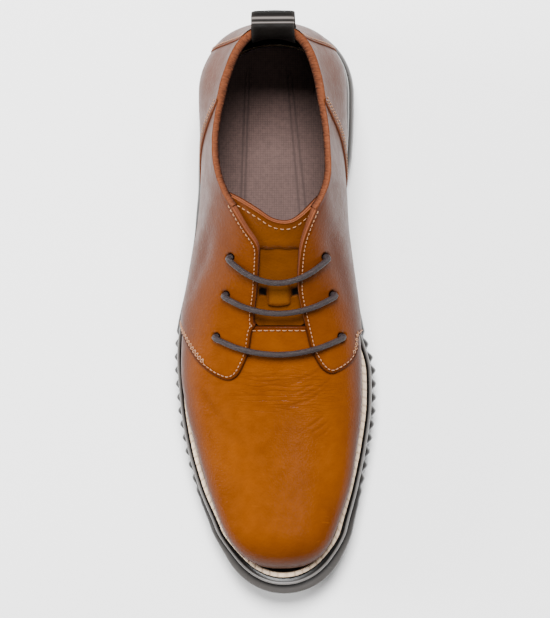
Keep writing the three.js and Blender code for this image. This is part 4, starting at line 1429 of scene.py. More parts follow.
def make_finishes() -> dict[Finish, Material]:
    """Builds the shared effects and every material."""
    # the leathers' dark tone: burnish, mottle and pores, and also painted shade in creases, folds and on
    # the steep sides
    tan, burnish_and_shade_tone = (0.148, 0.035, 0.0006, 1.0), (0.05, 0.0095, 0.0004, 1.0)
    pale, cut = (0.27, 0.078, 0.008, 1.0), (0.17, 0.055, 0.026, 1.0)
    inner, suede = (0.14, 0.039, 0.0006, 1.0), (0.2, 0.066, 0.008, 1.0)
    black, soot = (0.006, 0.004, 0.003, 1.0), (0.002, 0.0015, 0.001, 1.0)
    # ash: the strap's raw edge colour and the painted highlight on its fold lines
    brown, ash = (0.02, 0.012, 0.008, 1.0), (0.16, 0.14, 0.13, 1.0)
    coal, edge = (0.0025, 0.0018, 0.0014, 1.0), (0.008, 0.005, 0.004, 1.0)
    cream, shade, white = (0.8, 0.62, 0.45, 1.0), (0.2, 0.12, 0.07, 1.0), (0.9, 0.76, 0.6, 1.0)
    # the lighter rubber tone is painted highlight and reflection on the glossy black midsole
    rubber, painted_sheen_grey = (0.0035, 0.003, 0.0028, 1.0), (0.2, 0.185, 0.175, 1.0)
    trodden = (0.03, 0.026, 0.024, 1.0)
    twine, twist = (0.42, 0.19, 0.075, 1.0), (0.16, 0.055, 0.018, 1.0)
    # groove: the lace's dark tone, which also paints shade into the braid's grooves
    waxed, groove = (0.04, 0.026, 0.027, 1.0), (0.003, 0.002, 0.002, 1.0)
    # deep: the footbed's dark tone, which also paints shade into its pressed lines
    taupe, deep = (0.085, 0.049, 0.042, 1.0), (0.028, 0.016, 0.014, 1.0)
    recipes = {
        Finish.UPPER: LeatherFinish(tan, burnish_and_shade_tone, pale, cut),
        Finish.TONGUE: LeatherFinish(inner, burnish_and_shade_tone, pale, cut, 0.42),
        Finish.KEEPER: LeatherFinish(suede, burnish_and_shade_tone, pale, cut, 0.6, coat=0.0),
        Finish.LINING: LeatherFinish(black, soot, brown, brown, 0.75, coat=0.0),
        Finish.STRAP: LeatherFinish(coal, soot, edge, ash, 0.6, coat=0.0, shine=0.08),
        Finish.WELT: LeatherFinish(cream, shade, white, cream, 0.55, 1200.0, coat=0.0),
        Finish.SOLE: RubberFinish(rubber, painted_sheen_grey, 0.26),
        Finish.TREAD: RubberFinish(rubber, trodden, 0.6),
        Finish.THREAD: ClothFinish(twine, twist, 3000.0, 0.6),
        Finish.LACE: ClothFinish(waxed, groove, 1500.0, 0.45, sheen=0.0),
        Finish.FOOTBED: ClothFinish(taupe, deep, 340.0, bump=0.0001),
    }
    groups = Groups()
    return {finish: recipe.build(finish.value, groups) for finish, recipe in recipes.items()}


# Assemblies


@dataclass
class Assembly:
    """What every sub-assembly is made from, and the stitches that it leaves to the end."""

    sizes: Sizes
    last: Last
    finishes: dict[Finish, Material]
    sewn: list[MeshData] = field(default_factory=list)

    @property
    def sole(self) -> Sole:
        """The sole that the last stands on."""
        return self.last.sole


@dataclass
class UpperLeather(Assembly):
    """Vamp, quarters, heel counter, back stay, collar edge and lining."""

    inset: float = 0.3
    counter_foot: float = 0.62
    counter_top: float = 0.85
    counter_turn: float = 0.5
    stay_front: float = 128.5
    stay_lay: float = 0.6
    stay_turn: float = 2.0
    vamp_turn: float = 0.62 * np.pi
    seam: float = 1.45
    collar_steps: int = 900
    ragged: float = 0.14
    # share of the way out from the lining, rise, share of cut leather and darkness
    collar_rows: Rows = (
        (1, -0.9, 0, 0), (1, -0.2, 0.1, 0), (0.93, 0.12, 0.6, 0.05), (0.7, 0.3, 1, 0.2),
        (0.35, 0.36, 1, 0.5), (0.12, 0.25, 0.9, 0.75), (0, 0.05, 0.3, 0.9), (0, -1.6, 0, 0.95),
    )
    # start, middle and end in plan, depth, width and lowest height
    creases: Rows = (
        (-15, -33, -6, -36, 5, -35, 0.16, 0.6, 40), (-8, -37, 1, -38, 10, -35, 0.16, 0.6, 40),
        (0, -40, 10, -40, 20, -35, 0.18, 0.6, 40), (10, -37, 19, -36, 27, -31, 0.16, 0.6, 40),
        (-13, -41, -5, -43, 3, -42, 0.14, 0.6, 40), (3, -44, 13, -44, 24, -38, 0.18, 0.6, 40),
        (15, -45, 24, -42, 32, -36, 0.15, 0.6, 40), (-4, -48, 6, -48, 15, -44, 0.12, 0.6, 40),
        (9, -50, 19, -48, 29, -41, 0.15, 0.6, 40), (-2, -53, 8, -52, 16, -49, 0.1, 0.7, 40),
        (18, -62, 23, -59, 28, -55, 0.18, 0.55, 38), (20, -65, 25, -62, 30, -58, 0.18, 0.55, 38),
        (23, -67, 27, -65, 31, -61, 0.14, 0.55, 38), (-36, -42, -30, -52, -24, -58, 0.25, 2.2, 36),
        (-37, 14, -31, 26, -28, 40, 0.8, 3.2, 50), (35, 12, 32, 26, 31, 42, 0.8, 3.2, 50),
        (-39, 30, -34, 44, -31, 60, 0.6, 2.8, 50), (37, 32, 34, 48, 31, 64, 0.6, 2.8, 50),
        (-42, 2, -38, 12, -35, 20, 0.4, 2.4, 45), (40, 0, 37, 10, 35, 20, 0.4, 2.4, 45),
    )
    relief: Relief = field(init=False)
    throat: Array = field(init=False)
    quarter: Array = field(init=False)

    def __post_init__(self) -> None:
        """Places the lace holes and draws both outlines."""
        rows = self.creases
        self.relief = Relief(tuple(Crease(row[:2], row[2:4], row[4:6], *row[6:]) for row in rows))
        for crossing in CROSSINGS:
            y = float(self.sole.along(crossing.hole_at))
            for x in (crossing.outer, crossing.inner):
                self.relief.holes.append((x * self.sizes.width, y))
        self.throat = self._throat()
        self.quarter = self._quarter()

    def _throat(self) -> Array:
        """Outline of the throat in plan."""
        rows = np.array(THROAT.rows)
        outer = plan(tuple(zip(rows[:, 0], rows[:, 1])), self.sizes)
        inner = plan(tuple(zip(rows[:, 0], rows[:, 2])), self.sizes)
        return np.vstack([rounded_line(outer), rounded_line(inner[::-1])])

    def _quarter(self) -> Array:
        """Outline in plan of both quarters with the throat still closed."""
        at, left, right = THROAT.rows[0]
        bottom = plan(((at, left), (at, right)), self.sizes)
        outer = rounded_line(plan(OUTER_TAB, self.sizes))[::-1]
        inner = rounded_line(plan(INNER_TAB, self.sizes))
        rear = plan(((1.05, 0.65), (1.05, -0.65)), self.sizes)
        return np.vstack([outer, bottom, inner, rear])

    def quarter_area(self, p: Array) -> Array:
        """Distance inside the quarters."""
        return np.minimum(inside_by(p, self.quarter), -inside_by(p, self.throat))

    def vamp_area(self, p: Array) -> Array:
        """Distance inside the vamp, which ends under the quarters."""
        y = float(self.sole.along(THROAT.rows[0][0]))
        beside = y + 15
        rear = ((-80, beside), (-20, beside), (-12, y), (23, y), (31, beside), (80, beside))
        return inside_by(p, np.array((*rear, (80, -190), (-80, -190))))

    def counter_area(self, p: Array) -> Array:
        """Distance behind the counter's slanted front edge."""
        sole = self.sole
        foot_y = float(sole.along(self.counter_foot))
        top_y = float(sole.along(self.counter_top))
        high = float(sole.foot(0.0)) + self.sizes.instep_lift
        slope = (top_y - foot_y) / high
        return (p[:, 1] - foot_y - slope * p[:, 2]) / math.hypot(1.0, slope)

    def heel_tab_area(self, p: Array) -> Array:
        """Distance inside the stay that runs up the back of the heel."""
        return p[:, 1] - self.stay_front

    def lining_area(self, p: Array) -> Array:
        """Everything but the throat."""
        return -inside_by(p, self.throat)

    def _tack(self, panel: Panel, chain: Chain) -> None:
        """Adds the bar tacks at the outer ends of both tabs, where the cut passes them."""
        for low, high, nearest, sign in ((-31.0, -6.0, 33.0, -1.0), (-24.0, -13.0, 40.0, 1.0)):
            line, normal = panel.track(chain, 2.6, panel.off)
            keep = (line[:, 1] > low) & (line[:, 1] < high) & (line[:, 0] * sign > nearest)
            if keep.sum() > 6:
                self.sewn.append(zigzag(line[keep], normal[keep], 2.2, 1.1))

    def _panel(self, name: str, panel: Panel, down: float, *nodes: str, thread: Thread = Thread()) -> None:
        """Builds one panel with its raw edges and rows of stitches.

        Args:
            name: Name of the piece.
            panel: Its cut, with the rows of stitches.
            down: Offset of the edge's lowest row from the surface.
            nodes: CAD nodes that it replaces.
            thread: The thread of its stitches.
        """
        data, chains = panel.surface(self.inset, self.relief)
        for chain in chains:
            data = data.joined(panel.skirt(chain, self.inset, down, self.relief))
            for inset in panel.seams:
                line, normal = panel.track(chain, inset, panel.off)
                self.sewn.append(stitches(line, normal, thread))
            if name.startswith("quarter"):
                self._tack(panel, chain)
        publish(name, data, self.finishes[Finish.UPPER], "upper_leather", *nodes)

    def build(self) -> None:
        """Makes every piece of the upper."""
        wall, lay = self.sizes.wall, self.sizes.quarter_lay
        over = lay + self.sizes.counter_lay
        height = (0.0, COLLAR_LEVEL)
        vamp = Panel(self.last, self.vamp_area, 0.0, (-self.vamp_turn, self.vamp_turn), (0.0, 14.0), 1.4)
        vamp.shade = beside_seam(lambda p: inside_by(p, self.quarter), 0.85, 0.5)
        vamp.seams = (1.5,)
        self._panel("vamp", vamp, -wall + 0.2, "upper", thread=LONG_THREAD)
        for side, turns in (("inner", (0.0, np.pi)), ("outer", (np.pi, 2 * np.pi))):
            quarter = Panel(self.last, self.quarter_area, lay, turns, height)
            quarter.shade = beside_seam(self.counter_area, 0.75, 0.45)
            quarter.seams = (self.seam,)
            self._panel("quarter_" + side, quarter, -wall)
        turns = (self.counter_turn, 2 * np.pi - self.counter_turn)
        counter = Panel(self.last, self.counter_area, over, turns, (0.0, COLLAR_LEVEL - 0.12))
        counter.shade = beside_seam(self.heel_tab_area, 0.75, 0.45)
        counter.seams = (1.6, 3.6)
        self._panel("heel_counter", counter, lay - 0.3)
        turns = (self.stay_turn, 2 * np.pi - self.stay_turn)
        stay = Panel(self.last, self.heel_tab_area, over + self.stay_lay, turns, (0.0, COLLAR_LEVEL - 0.1))
        stay.seams = (1.3,)
        self._panel("heel_tab", stay, lay)
        self._lining()
        self._collar()

    def _lining(self) -> None:
        """The inside of the upper."""
        panel = Panel(self.last, self.lining_area, -self.sizes.wall, ALL_ROUND, (0.6, COLLAR_LEVEL), 0.6)
        data, _ = panel.surface(0.05, None)
        data.faces = data.faces[:, ::-1]
        publish("lining", data, self.finishes[Finish.LINING], "upper_leather")

    def _collar(self) -> None:
        """Raw edge of the leather round the collar, from the outside over to the lining."""
        turn = np.linspace(*ALL_ROUND, self.collar_steps)
        level = np.full_like(turn, COLLAR_LEVEL)
        p, _, dv, n = self.last.frame(turn, level)
        keep = self.lining_area(p) > self.inset - 0.7
        first = int(np.argmax(keep))
        final = len(keep) - int(np.argmax(keep[::-1]))
        p, n, up = p[first:final], n[first:final], unit(dv[first:final])
        lay = self.sizes.quarter_lay + self.sizes.counter_lay * ramp(self.counter_area(p) / 0.8)
        share, rise, cut, dark = np.array(self.collar_rows).T[:, :, None]
        ragged = np.random.default_rng(4).normal(0.0, self.ragged, (len(share), len(p)))
        off = mix(-self.sizes.wall, lay, share) + 0.015
        lift = rise + cut * ragged
        points = (p + n * off[..., None] + up * lift[..., None]).reshape(-1, 3)
        values = {
            "raw": np.repeat(cut, len(p)),
            "edge": np.ones(len(points)),
            "dark": np.clip(dark + 1.1 * ragged, 0.0, 0.95).ravel(),
        }
        data = MeshData(points, grid_faces(len(share), len(p)), values)
        publish("collar_edge", data, self.finishes[Finish.UPPER], "upper_leather")


@dataclass
class TongueSet(Assembly):
    """Tongue, its upper patch, the lace keeper and their stitches."""

    # upper edge in plan, from the outer to the inner side
    top: tuple[Pair, ...] = (
        (-25, 56), (-14, 49.4), (-4.2, 43.2), (3.6, 38.6), (10.5, 37.5), (16.4, 39.3),
        (23.2, 45), (31, 54),
    )
    sides_to: float = 44.0
    rim: float = 1.1
    patch_thick: float = 0.7
    patch_front: float = 25.5
    keeper_thick: float = 1.1
    keeper: tuple[Pair, ...] = ((-0.2, -0.9), (5.0, -1.5), (11.6, -0.6), (11.8, 9.6), (-0.3, 9.6))
    inner_slot: tuple[Pair, ...] = ((11.6, 4.2), (16.2, 4.6), (16.2, 8.8), (11.6, 8.8))
    outer_slot: tuple[Pair, ...] = ((-4.6, 4.6), (-0.3, 4.2), (-0.3, 8.8), (-4.6, 8.8))
    turn: float = 1.9
    outline: Array = field(init=False)

    def __post_init__(self) -> None:
        """Draws the tongue's outline in plan."""
        rows = np.array(TONGUE_PLAN.rows)
        outer = plan(tuple(zip(rows[:, 0], rows[:, 1])), self.sizes)
        inner = plan(tuple(zip(rows[:, 0], rows[:, 2])), self.sizes)
        low = outer[:, 1] < self.sides_to
        self.outline = np.vstack([outer[low], rounded_line(np.array(self.top)), inner[low][::-1]])

    def area(self, p: Array) -> Array:
        """Distance inside the tongue."""
        return inside_by(p, self.outline)

    def patch_area(self, p: Array) -> Array:
        """Distance inside the upper patch, whose lower edge is slightly scalloped."""
        wave = 0.25 * np.cos((p[:, 0] - 6.0) * 2 * np.pi / 9.0)
        return np.minimum(self.area(p) - 0.2, p[:, 1] - self.patch_front - wave)

    def keeper_area(self, p: Array) -> Array:
        """Distance inside the keeper tab."""
        return inside_by(p, np.array(self.keeper))

    def slots(self, p: Array) -> Array:
        """1 in the two slots that the keeper comes out of, 0 beside them."""
        inner = inside_by(p, np.array(self.inner_slot))
        outer = inside_by(p, np.array(self.outer_slot))
        return ramp(np.maximum(inner, outer) / 0.6)

    def _solid(self, name: str, area: Field, off: float, thick: float, levels: Pair, *nodes: str) -> None:
        """A panel with a back face and raw edges all round, the upper end included.

        Args:
            name: Name of the piece.
            area: Distance inside its outline.
            off: Offset of its face from the surface.
            thick: Its thickness.
            levels: Levels that the grid spans.
            nodes: CAD nodes that it replaces.
        """
        span = (-self.turn, self.turn)
        top = Panel(self.last, area, off, span, levels)
        data, chains = top.surface(0.3, None)
        if name == "tongue_body":
            # the keeper's slots sink and get painted shade
            pit = self.slots(data.points)
            data.points[:, 2] -= pit
            data.values["dark"] = pit
        rim = min(thick, self.rim)
        for chain in chains:
            data = data.joined(top.skirt(chain, 0.3, off - rim, None))
        under = Panel(self.last, area, off - thick, span, levels)
        under.rise = lambda p: (thick - rim) * np.exp(-np.maximum(area(p), 0.0) / 5.0)
        back, _ = under.surface(0.0, None)
        back.faces = back.faces[:, ::-1]
        finish, slot = Finish.TONGUE, "tongue_leather"
        if name == "lace_keeper_tab":
            finish, slot = Finish.KEEPER, "keeper_leather"
        publish(name, data.joined(back), self.finishes[finish], slot, *nodes)

    def build(self) -> None:
        """Makes tongue, patch and keeper."""
        off = -self.sizes.wall - self.sizes.sheet_gap
        thick = self.patch_thick
        self._solid("tongue_body", self.area, off, self.sizes.tongue_thick, (7.0, TOP_LEVEL), "tongue")
        self._solid("tongue_patch", self.patch_area, off + thick, thick, (13.0, TOP_LEVEL))
        keeper = self.keeper_thick
        self._solid("lace_keeper_tab", self.keeper_area, off + 1.4, keeper, (9.0, 16.0), "lace_keeper")
        line = spaced(rounded_line(np.array(self.top) - np.array([0, 3.0])), CHAIN_STEP)
        p, n = self.last.over(line[:, 0], line[:, 1], np.full(len(line), off + thick))
        keep = inside_by(line, self.outline) > 1.6
        self.sewn.append(stitches(p[keep], n[keep], LONG_THREAD))


@dataclass
class Laces(Assembly):
    """Three crossings of a round waxed lace that go down into their holes."""

    steps: int = 15
    sides: int = 20
    braid: float = 2.1

    def path(self, crossing: Crossing) -> Array:
        """Centre line of one crossing, from hole to hole over the facings."""
        lie = self.sizes.quarter_lay + self.sizes.lace_radius + self.sizes.sheet_gap
        sole = self.sole
        t = np.linspace(0, 1, self.steps)
        x = mix(crossing.outer, crossing.inner, t) * self.sizes.width
        y = sole.along(mix(crossing.middle_at, crossing.hole_at, (2 * t - 1) ** 2))
        off = np.full(self.steps, lie)
        off[[0, -1]] = 0.1
        points, _ = self.last.over(x, y, off)
        hole_x = np.array([crossing.outer, crossing.inner]) * self.sizes.width
        hole_y = np.full(2, float(sole.along(crossing.hole_at)))
        over, _ = self.last.over(hole_x, hole_y, np.full(2, lie - 0.2))
        points[1] = mix(over[0], points[1], 0.12)
        points[-2] = mix(over[1], points[-2], 0.12)
        return spaced(rounded_line(points, 10), 0.5)

    def build(self) -> None:
        """Makes the crossings, each with a braided face."""
        for crossing in CROSSINGS:
            path = self.path(crossing)
            data = tube(path, self.sizes.lace_radius, self.sides)
            body = len(data.points) - 2
            run = data.values["run"][:body] * self.braid
            turn = data.values["round"][:body] * 2
            braid = np.abs(np.sin(run + turn)) * np.abs(np.sin(run - turn))
            centre = np.repeat(path, self.sides, axis=0)
            out = data.points[:body] - centre
            data.points[:body] = centre + out * (0.93 + 0.09 * braid)[:, None]
            # line paints shade into the braid's grooves
            data.values = {"line": np.concatenate([1 - braid, [0.0, 0.0]]) * 0.6}
            publish(crossing.node + "_lace", data, self.finishes[Finish.LACE], "lace_cord", crossing.node)


@dataclass
class PullLoop(Assembly):
    """Folded strap at the back of the collar."""

    columns: int = 41
    level_rise: float = 5.0
    fold_width: float = 0.35
    folds: Pair = (1.2, 3.4)

    def route(self) -> Array:
        """Strap's line from its outer to its inner tail: height above the welt and distance out."""
        stand, back = self.sizes.loop_stand, self.sizes.back_lift
        outer = 1.2 * (self.sizes.quarter_lay + self.sizes.counter_lay) + self.sizes.sheet_gap
        inner = -1.2 * self.sizes.wall - self.sizes.sheet_gap
        rows = (
            (-16.0, outer),
            (-9.0, outer),
            (-3.0, outer + 0.5 * stand),
            (2.0, stand),
            (5.6, 0.78 * stand),
            (6.4, 0.3 * stand),
            (6.2, -0.2),
            (2.4, inner),
            (-5.0, inner),
            (-15.0, inner),
        )
        return rounded_line(np.array(rows) + np.array([back, 0.0]), 10)

    def heel_face(self, x: Array, lift: Array) -> Array:
        """Y of the heel's outside at a place sideways and a height, halving the range."""
        low = np.full_like(x, float(self.sole.along(0.85)))
        high = self.last.back(lift) + np.zeros_like(x)
        for _ in range(HALVINGS):
            y = (low + high) / 2
            middle, half = self.last.section(y, lift)
            wider = half > np.abs(x - middle)
            low = np.where(wider, y, low)
            high = np.where(wider, high, y)
        return low

    def build(self) -> None:
        """Makes the strap."""
        back = self.sizes.back_lift
        line = self.route()
        rear = float(self.last.back(np.array(back)))
        middle, _ = self.last.section(np.array(rear - 1), np.array(back))
        columns = self.columns
        x = float(middle) + np.linspace(-0.5, 0.5, columns) * self.sizes.loop_width
        lift, off = line[:, 0], line[:, 1]
        face = self.heel_face(np.repeat(x[None], len(line), 0), np.minimum(lift, back)[:, None])
        level = face.mean(axis=1, keepdims=True)
        flat = ramp((lift - back + 2.0) / self.level_rise)[:, None]
        y = mix(face, level, flat) + off[:, None]
        z = float(self.sole.foot(rear)) + lift[:, None] + np.zeros_like(y)
        near = np.stack([np.repeat(x[None], len(line), 0), y, z], axis=-1)
        d = unit(np.gradient(near, axis=0))
        way = np.stack([np.zeros_like(y), d[..., 2], -d[..., 1]], axis=-1)
        profile = np.sqrt(np.clip(1 - np.abs(np.linspace(-1, 1, columns)) ** 8, 0.02, 1))
        far = near + way * (self.sizes.loop_thick * (0.5 + 0.5 * profile))[None, :, None]
        near = near + way * (self.sizes.loop_thick * (0.5 - 0.5 * profile))[None, :, None]
        rows = len(line)
        points = np.vstack([far.reshape(-1, 3), near.reshape(-1, 3)])
        rim = np.abs(np.linspace(-1, 1, columns)) ** 12
        run = run_along(line)
        before = run[lift.argmax()] - run
        # the two fold lines get a painted highlight
        fold = np.zeros(rows)
        for place in self.folds:
            fold = np.maximum(fold, np.exp(-(((before - place) / self.fold_width) ** 2)))
        values = {
            "edge": np.tile(np.tile(rim, rows), 2),
            "raw": np.tile(np.tile(rim, rows), 2) * 0.15,
            "worn": np.tile(np.repeat(fold, columns), 2),
        }
        data = MeshData(points, slab_faces(rows, columns, True), values)
        publish("pull_strap", data, self.finishes[Finish.STRAP], "strap_leather", "pull_loop")


@dataclass
class SoleUnit(Assembly):
    """Midsole with ribs, tread, welt with its stitch grooves, and the footbed."""

    wall_stations: int = 520
    tread_grid: tuple[int, int] = (420, 64)
    tread_inset: float = 2.4
    welt_stations: int = 1050
    welt_hide: float = 0.6
    welt_toe: float = 9.4
    welt_pitch: float = 4.15
    notch_depth: float = 0.32
    footbed_grid: tuple[int, int] = (240, 150)
    footbed_gap: float = 0.9
    # from foot to top: rise, inset, share of the flange's inset, ribs, tone, more tone off the ribs; tone
    # is painted highlight and reflection grey on the black rubber, brightest on the flange's lip, and more
    # tone paints reflection on the toe bumper and the heel
    wall_rows: Rows = (
        (0, 3, 0, 0, 0, 0.05), (0.03, 2.3, 0, 0.2, 0.05, 0.05),
        (0.08, 1.4, 0, 0.6, 0.1, 0.05), (0.15, 0.6, 0, 1, 0.12, 0.2),
        (0.25, 0.05, 0, 1, 0.1, 0.2), (0.36, 0, 0, 1, 0.06, 0.2),
        (0.47, 0.1, 0, 1, 0.04, 0.2), (0.56, 0.3, 0, 1, 0.05, 0.2),
        (0.62, 0.6, 0.08, 0.9, 0.1, 0.2), (0.66, 0.9, 0.35, 0.6, 0.1, 0.1),
        (0.69, 1.1, 0.75, 0.2, 0, 0.04), (0.72, 1.3, 1, 0, 0, 0),
        (0.76, 1.3, 1, 0, 0, 0), (0.785, 0.7, 1, 0, 0.05, 0.2),
        (0.81, 0.15, 1, 0, 0.2, 0.2), (0.86, 0, 1, 0, 0.3, 0.2),
        (0.94, 0.05, 1, 0, 0.45, 0.2), (0.985, 0.3, 1, 0, 0.9, 0.2),
        (1, 0.6, 1, 0, 0.5, 0), (0.985, 1.3, 1, 0, 0.35, 0),
        (0.95, 1.7, 1, 0, 0, 0), (0.95, 4.5, 1, 0, 0, 0),
    )
    # distance in from the outer edge, height share, share of a notch, edge tone, darkness; edge tone and
    # darkness paint shade on the welt's sides, where it meets the sole and in the gap next to the upper
    welt_rows: Rows = (
        (0, 0.1, 0, 1, 0.5), (0, 0.7, 0.5, 0.6, 0.1), (0.12, 0.92, 0.9, 0.2, 0),
        (0.4, 1, 1, 0, 0), (0.8, 1.04, 1, 0, 0), (1.3, 1.05, 1, 0, 0),
        (1.7, 1.03, 1, 0, 0), (2.1, 0.97, 0.8, 0.1, 0), (2.4, 0.8, 0.4, 0.5, 0.4),
        (2.7, 0.45, 0, 1, 1), (4.4, 0.4, 0, 1, 1), (9, 0.4, 0, 1, 1), (9, 0.1, 0, 1, 1),
    )
    # pressed lines of the footbed: place sideways at the reference and slope
    pressed: tuple[Pair, ...] = ((-16.4, 0.037), (-14.4, 0.037), (12.6, -0.09), (15.9, -0.11))
    pressed_at: float = 64.0

    def stations(self, count: int) -> Array:
        """Shares between a ring's toe and heel, close at both ends."""
        t = np.linspace(0, 1, count)
        return mix(t, (1 - np.cos(np.pi * t)) / 2, 0.75)

    def closed(self, sides: list[Array]) -> Array:
        """One ring of the inner and the outer side, which meet in the middle at both ends."""
        middle = (sides[0] + sides[1]) / 2
        sides[0][[0, -1]] = middle[[0, -1]]
        return np.vstack([sides[0], sides[1][-2:0:-1]])

    def wall_ring(self, rise: float, inset: float, share: float, ribs: float) -> Array:
        """Closed ring round the midsole: toe tip, inner side, heel, outer side.

        The ribs are a raised cosine along the side that fades out at both ends.

        Args:
            rise: Share of the height from the tread to the seat.
            inset: Distance in from the outline.
            share: Share of the flange's inset that is added.
            ribs: Share of the ribs' depth.

        Returns:
            (2 * stations - 2, 3) points.
        """
        flange = LEDGES.read("flange", np.array([0.0, 1.0]))
        toe_in, heel_in = (float(end) for end in inset + share * flange)
        toe, heel = float(self.sole.along(0)) + toe_in, float(self.sole.along(1)) - heel_in
        y = mix(toe, heel, self.stations(self.wall_stations))
        at = self.sole.share(y)
        phase = (y - float(self.sole.along(0.116))) / self.sizes.rib_pitch
        wave = (0.5 + 0.5 * np.cos(2 * np.pi * phase + np.pi)) ** 0.8
        fade = ramp((at - 0.145) / 0.095) * ramp((0.475 - at) / 0.035)
        back = inset + share * LEDGES.read("flange", at) + ribs * self.sizes.rib_depth * (1 - wave) * fade
        z = mix(self.sole.bottom(y) + self.sizes.tread + self.sizes.gap, self.sole.top(y), rise)
        edges = [self.sole.edge(side.value, y, back, toe_in, heel_in) for side in (Side.INNER, Side.OUTER)]
        return self.closed([np.stack([x, y, z], axis=-1) for x in edges])

    def welt_edge(self, side: float, y: Array, back: float) -> Array:
        """X of the welt's outer edge moved in by a distance; behind the ball it hides under the upper."""
        at = self.sole.share(y)
        ahead = self.sole.edge(side, y, LEDGES.read("welt", at) + back, self.welt_toe + back, 5.0)
        behind = self.foot_edge(side, np.maximum(y, self.last.toe_tip), self.welt_hide + back)
        return mix(ahead, behind, ramp((at - 0.47) / 0.09))

    def welt_ring(self, back: float, rise: float) -> Array:
        """Closed ring of the welt.

        Args:
            back: Distance in from its outer edge.
            rise: Share of its height.

        Returns:
            (2 * stations - 2, 3) points.
        """
        toe = float(self.sole.along(0)) + float(LEDGES.read("welt", np.array(0.0))) + back
        heel = float(self.last.back(np.array(0.0))) - self.welt_hide - back
        y = mix(toe, heel, self.stations(self.welt_stations))
        low = self.sole.top(y) + self.sizes.gap
        z = mix(low, low + self.sizes.welt, rise)
        edges = [self.welt_edge(side.value, y, back) for side in (Side.INNER, Side.OUTER)]
        return self.closed([np.stack([x, y, z], axis=-1) for x in edges])

    def cap(self, count: int, row: int, size: int, flip: bool) -> Array:
        """Faces straight across a ring from side to side.

        Args:
            count: Stations of the ring from toe to heel.
            row: Number of the ring in its mesh.
            size: Points of the ring.
            flip: Whether the faces are turned over.

        Returns:
            The faces, with a triangle at both ends.
        """
        i = np.arange(count - 1)
        opposite = np.where(i == 0, 0, size - i)
        after = np.where(i + 1 == count - 1, i + 1, size - i - 1)
        faces = np.stack([i, i + 1, after, opposite], axis=1) + row * size
        faces[0] = [faces[0][0], faces[0][1], faces[0][2], -1]
        last = faces[-1]
        faces[-1] = [last[0], last[1], last[3], -1]
        if flip:
            turned = faces[:, ::-1].copy()
            turned[0] = [faces[0][2], faces[0][1], faces[0][0], -1]
            turned[-1] = [faces[-1][2], faces[-1][1], faces[-1][0], -1]
            return turned
        return faces

    def lofted(self, rings: list[Array], count: int = 0) -> MeshData:
        """Mesh through rings.

        Args:
            rings: The rings.
            count: Stations of a ring, to close both ends straight across; 0 closes the last ring
                to the first.

        Returns:
            The mesh.
        """
        size = len(rings[0])
        rows = len(rings)
        points = np.vstack(rings)
        faces = grid_faces(rows, size, wrap=True)
        if count:
            ends = [self.cap(count, 0, size, True), self.cap(count, rows - 1, size, False)]
        else:
            j = np.arange(size)
            k = (j + 1) % size
            base = (rows - 1) * size
            ends = [np.stack([base + j, base + k, k, j], axis=1)]
        return MeshData(points, np.vstack([faces, *ends]))

    def build(self) -> None:
        """Makes midsole, tread, welt and footbed."""
        self._midsole()
        self._tread()
        self._welt()
        self._footbed()

    def _midsole(self) -> None:
        """Ribbed wall, undercut, flange and top, as one lofted body."""
        rings = [self.wall_ring(*row[:4]) for row in self.wall_rows]
        data = self.lofted(rings, self.wall_stations)
        tone, more = np.array(self.wall_rows).T[4:]
        at = self.sole.share(data.points[:, 1])
        # painted reflection grey on the toe bumper and the heel, off the ribs
        plain = np.maximum(ramp((0.16 - at) / 0.1), ramp((at - 0.62) / 0.12))
        size = len(rings[0])
        data.values["tone"] = np.clip(np.repeat(tone, size) + plain * np.repeat(more, size), 0.0, 1.0)
        publish("midsole_body", data, self.finishes[Finish.SOLE], "sole_rubber", "midsole")

    def _tread(self) -> None:
        """Tread plate: a grid over the plan whose underside sinks into its grooves."""
        rows, columns = self.tread_grid
        at = self.stations(rows)
        across = np.sin(np.linspace(-1, 1, columns) * np.pi / 2)
        inset = self.tread_inset
        y = mix(float(self.sole.along(0)) + inset, float(self.sole.along(1)) - inset, at)[:, None]
        left = self.sole.edge(Side.OUTER.value, y, inset, inset, inset)
        right = self.sole.edge(Side.INNER.value, y, inset, inset, inset)
        x = mix(left, right, (across + 1) / 2)
        yy = y + np.zeros_like(x)
        share = self.sole.share(yy)
        cut = np.zeros_like(x)
        for groove in GROOVES:
            bend = 2.2 * np.cos(x / 16.0)
            d = np.abs(yy - float(self.sole.along(groove)) - bend + 1.2)
            cut = np.maximum(cut, 1 - ramp((d - 1.2) / 0.7))
        for first, final in ((0.235, 0.475), (0.775, 0.91)):
            d = np.abs(x)
            zone = ramp((share - first) / 0.006) * ramp((final - share) / 0.006)
            cut = np.maximum(cut, (1 - ramp((d - 1.6) / 0.7)) * zone)
        fine = 0.35 * (0.5 + 0.5 * np.cos(x * 2 * np.pi / 4.2)) ** 6 * (1 - cut)
        rim = np.minimum(x - left, right - x)
        bevel = 1.2 * (1 - ramp(rim / 1.6))
        z = self.sole.bottom(yy) + self.sizes.groove_depth * cut + np.maximum(fine * ramp(rim / 4.0), bevel)
        under = np.stack([x, yy, z], axis=-1)
        top_z = self.sole.bottom(yy) + self.sizes.tread
        top = np.stack([x, yy, top_z], axis=-1)
        size = rows * columns
        points = np.vstack([under.reshape(-1, 3), top.reshape(-1, 3)])
        tone = np.concatenate([(0.4 * (1 - cut)).ravel(), np.zeros(size)])
        data = MeshData(points, slab_faces(rows, columns, False), {"tone": tone})
        publish("tread_plate", data, self.finishes[Finish.TREAD], "tread_rubber", "outsole")

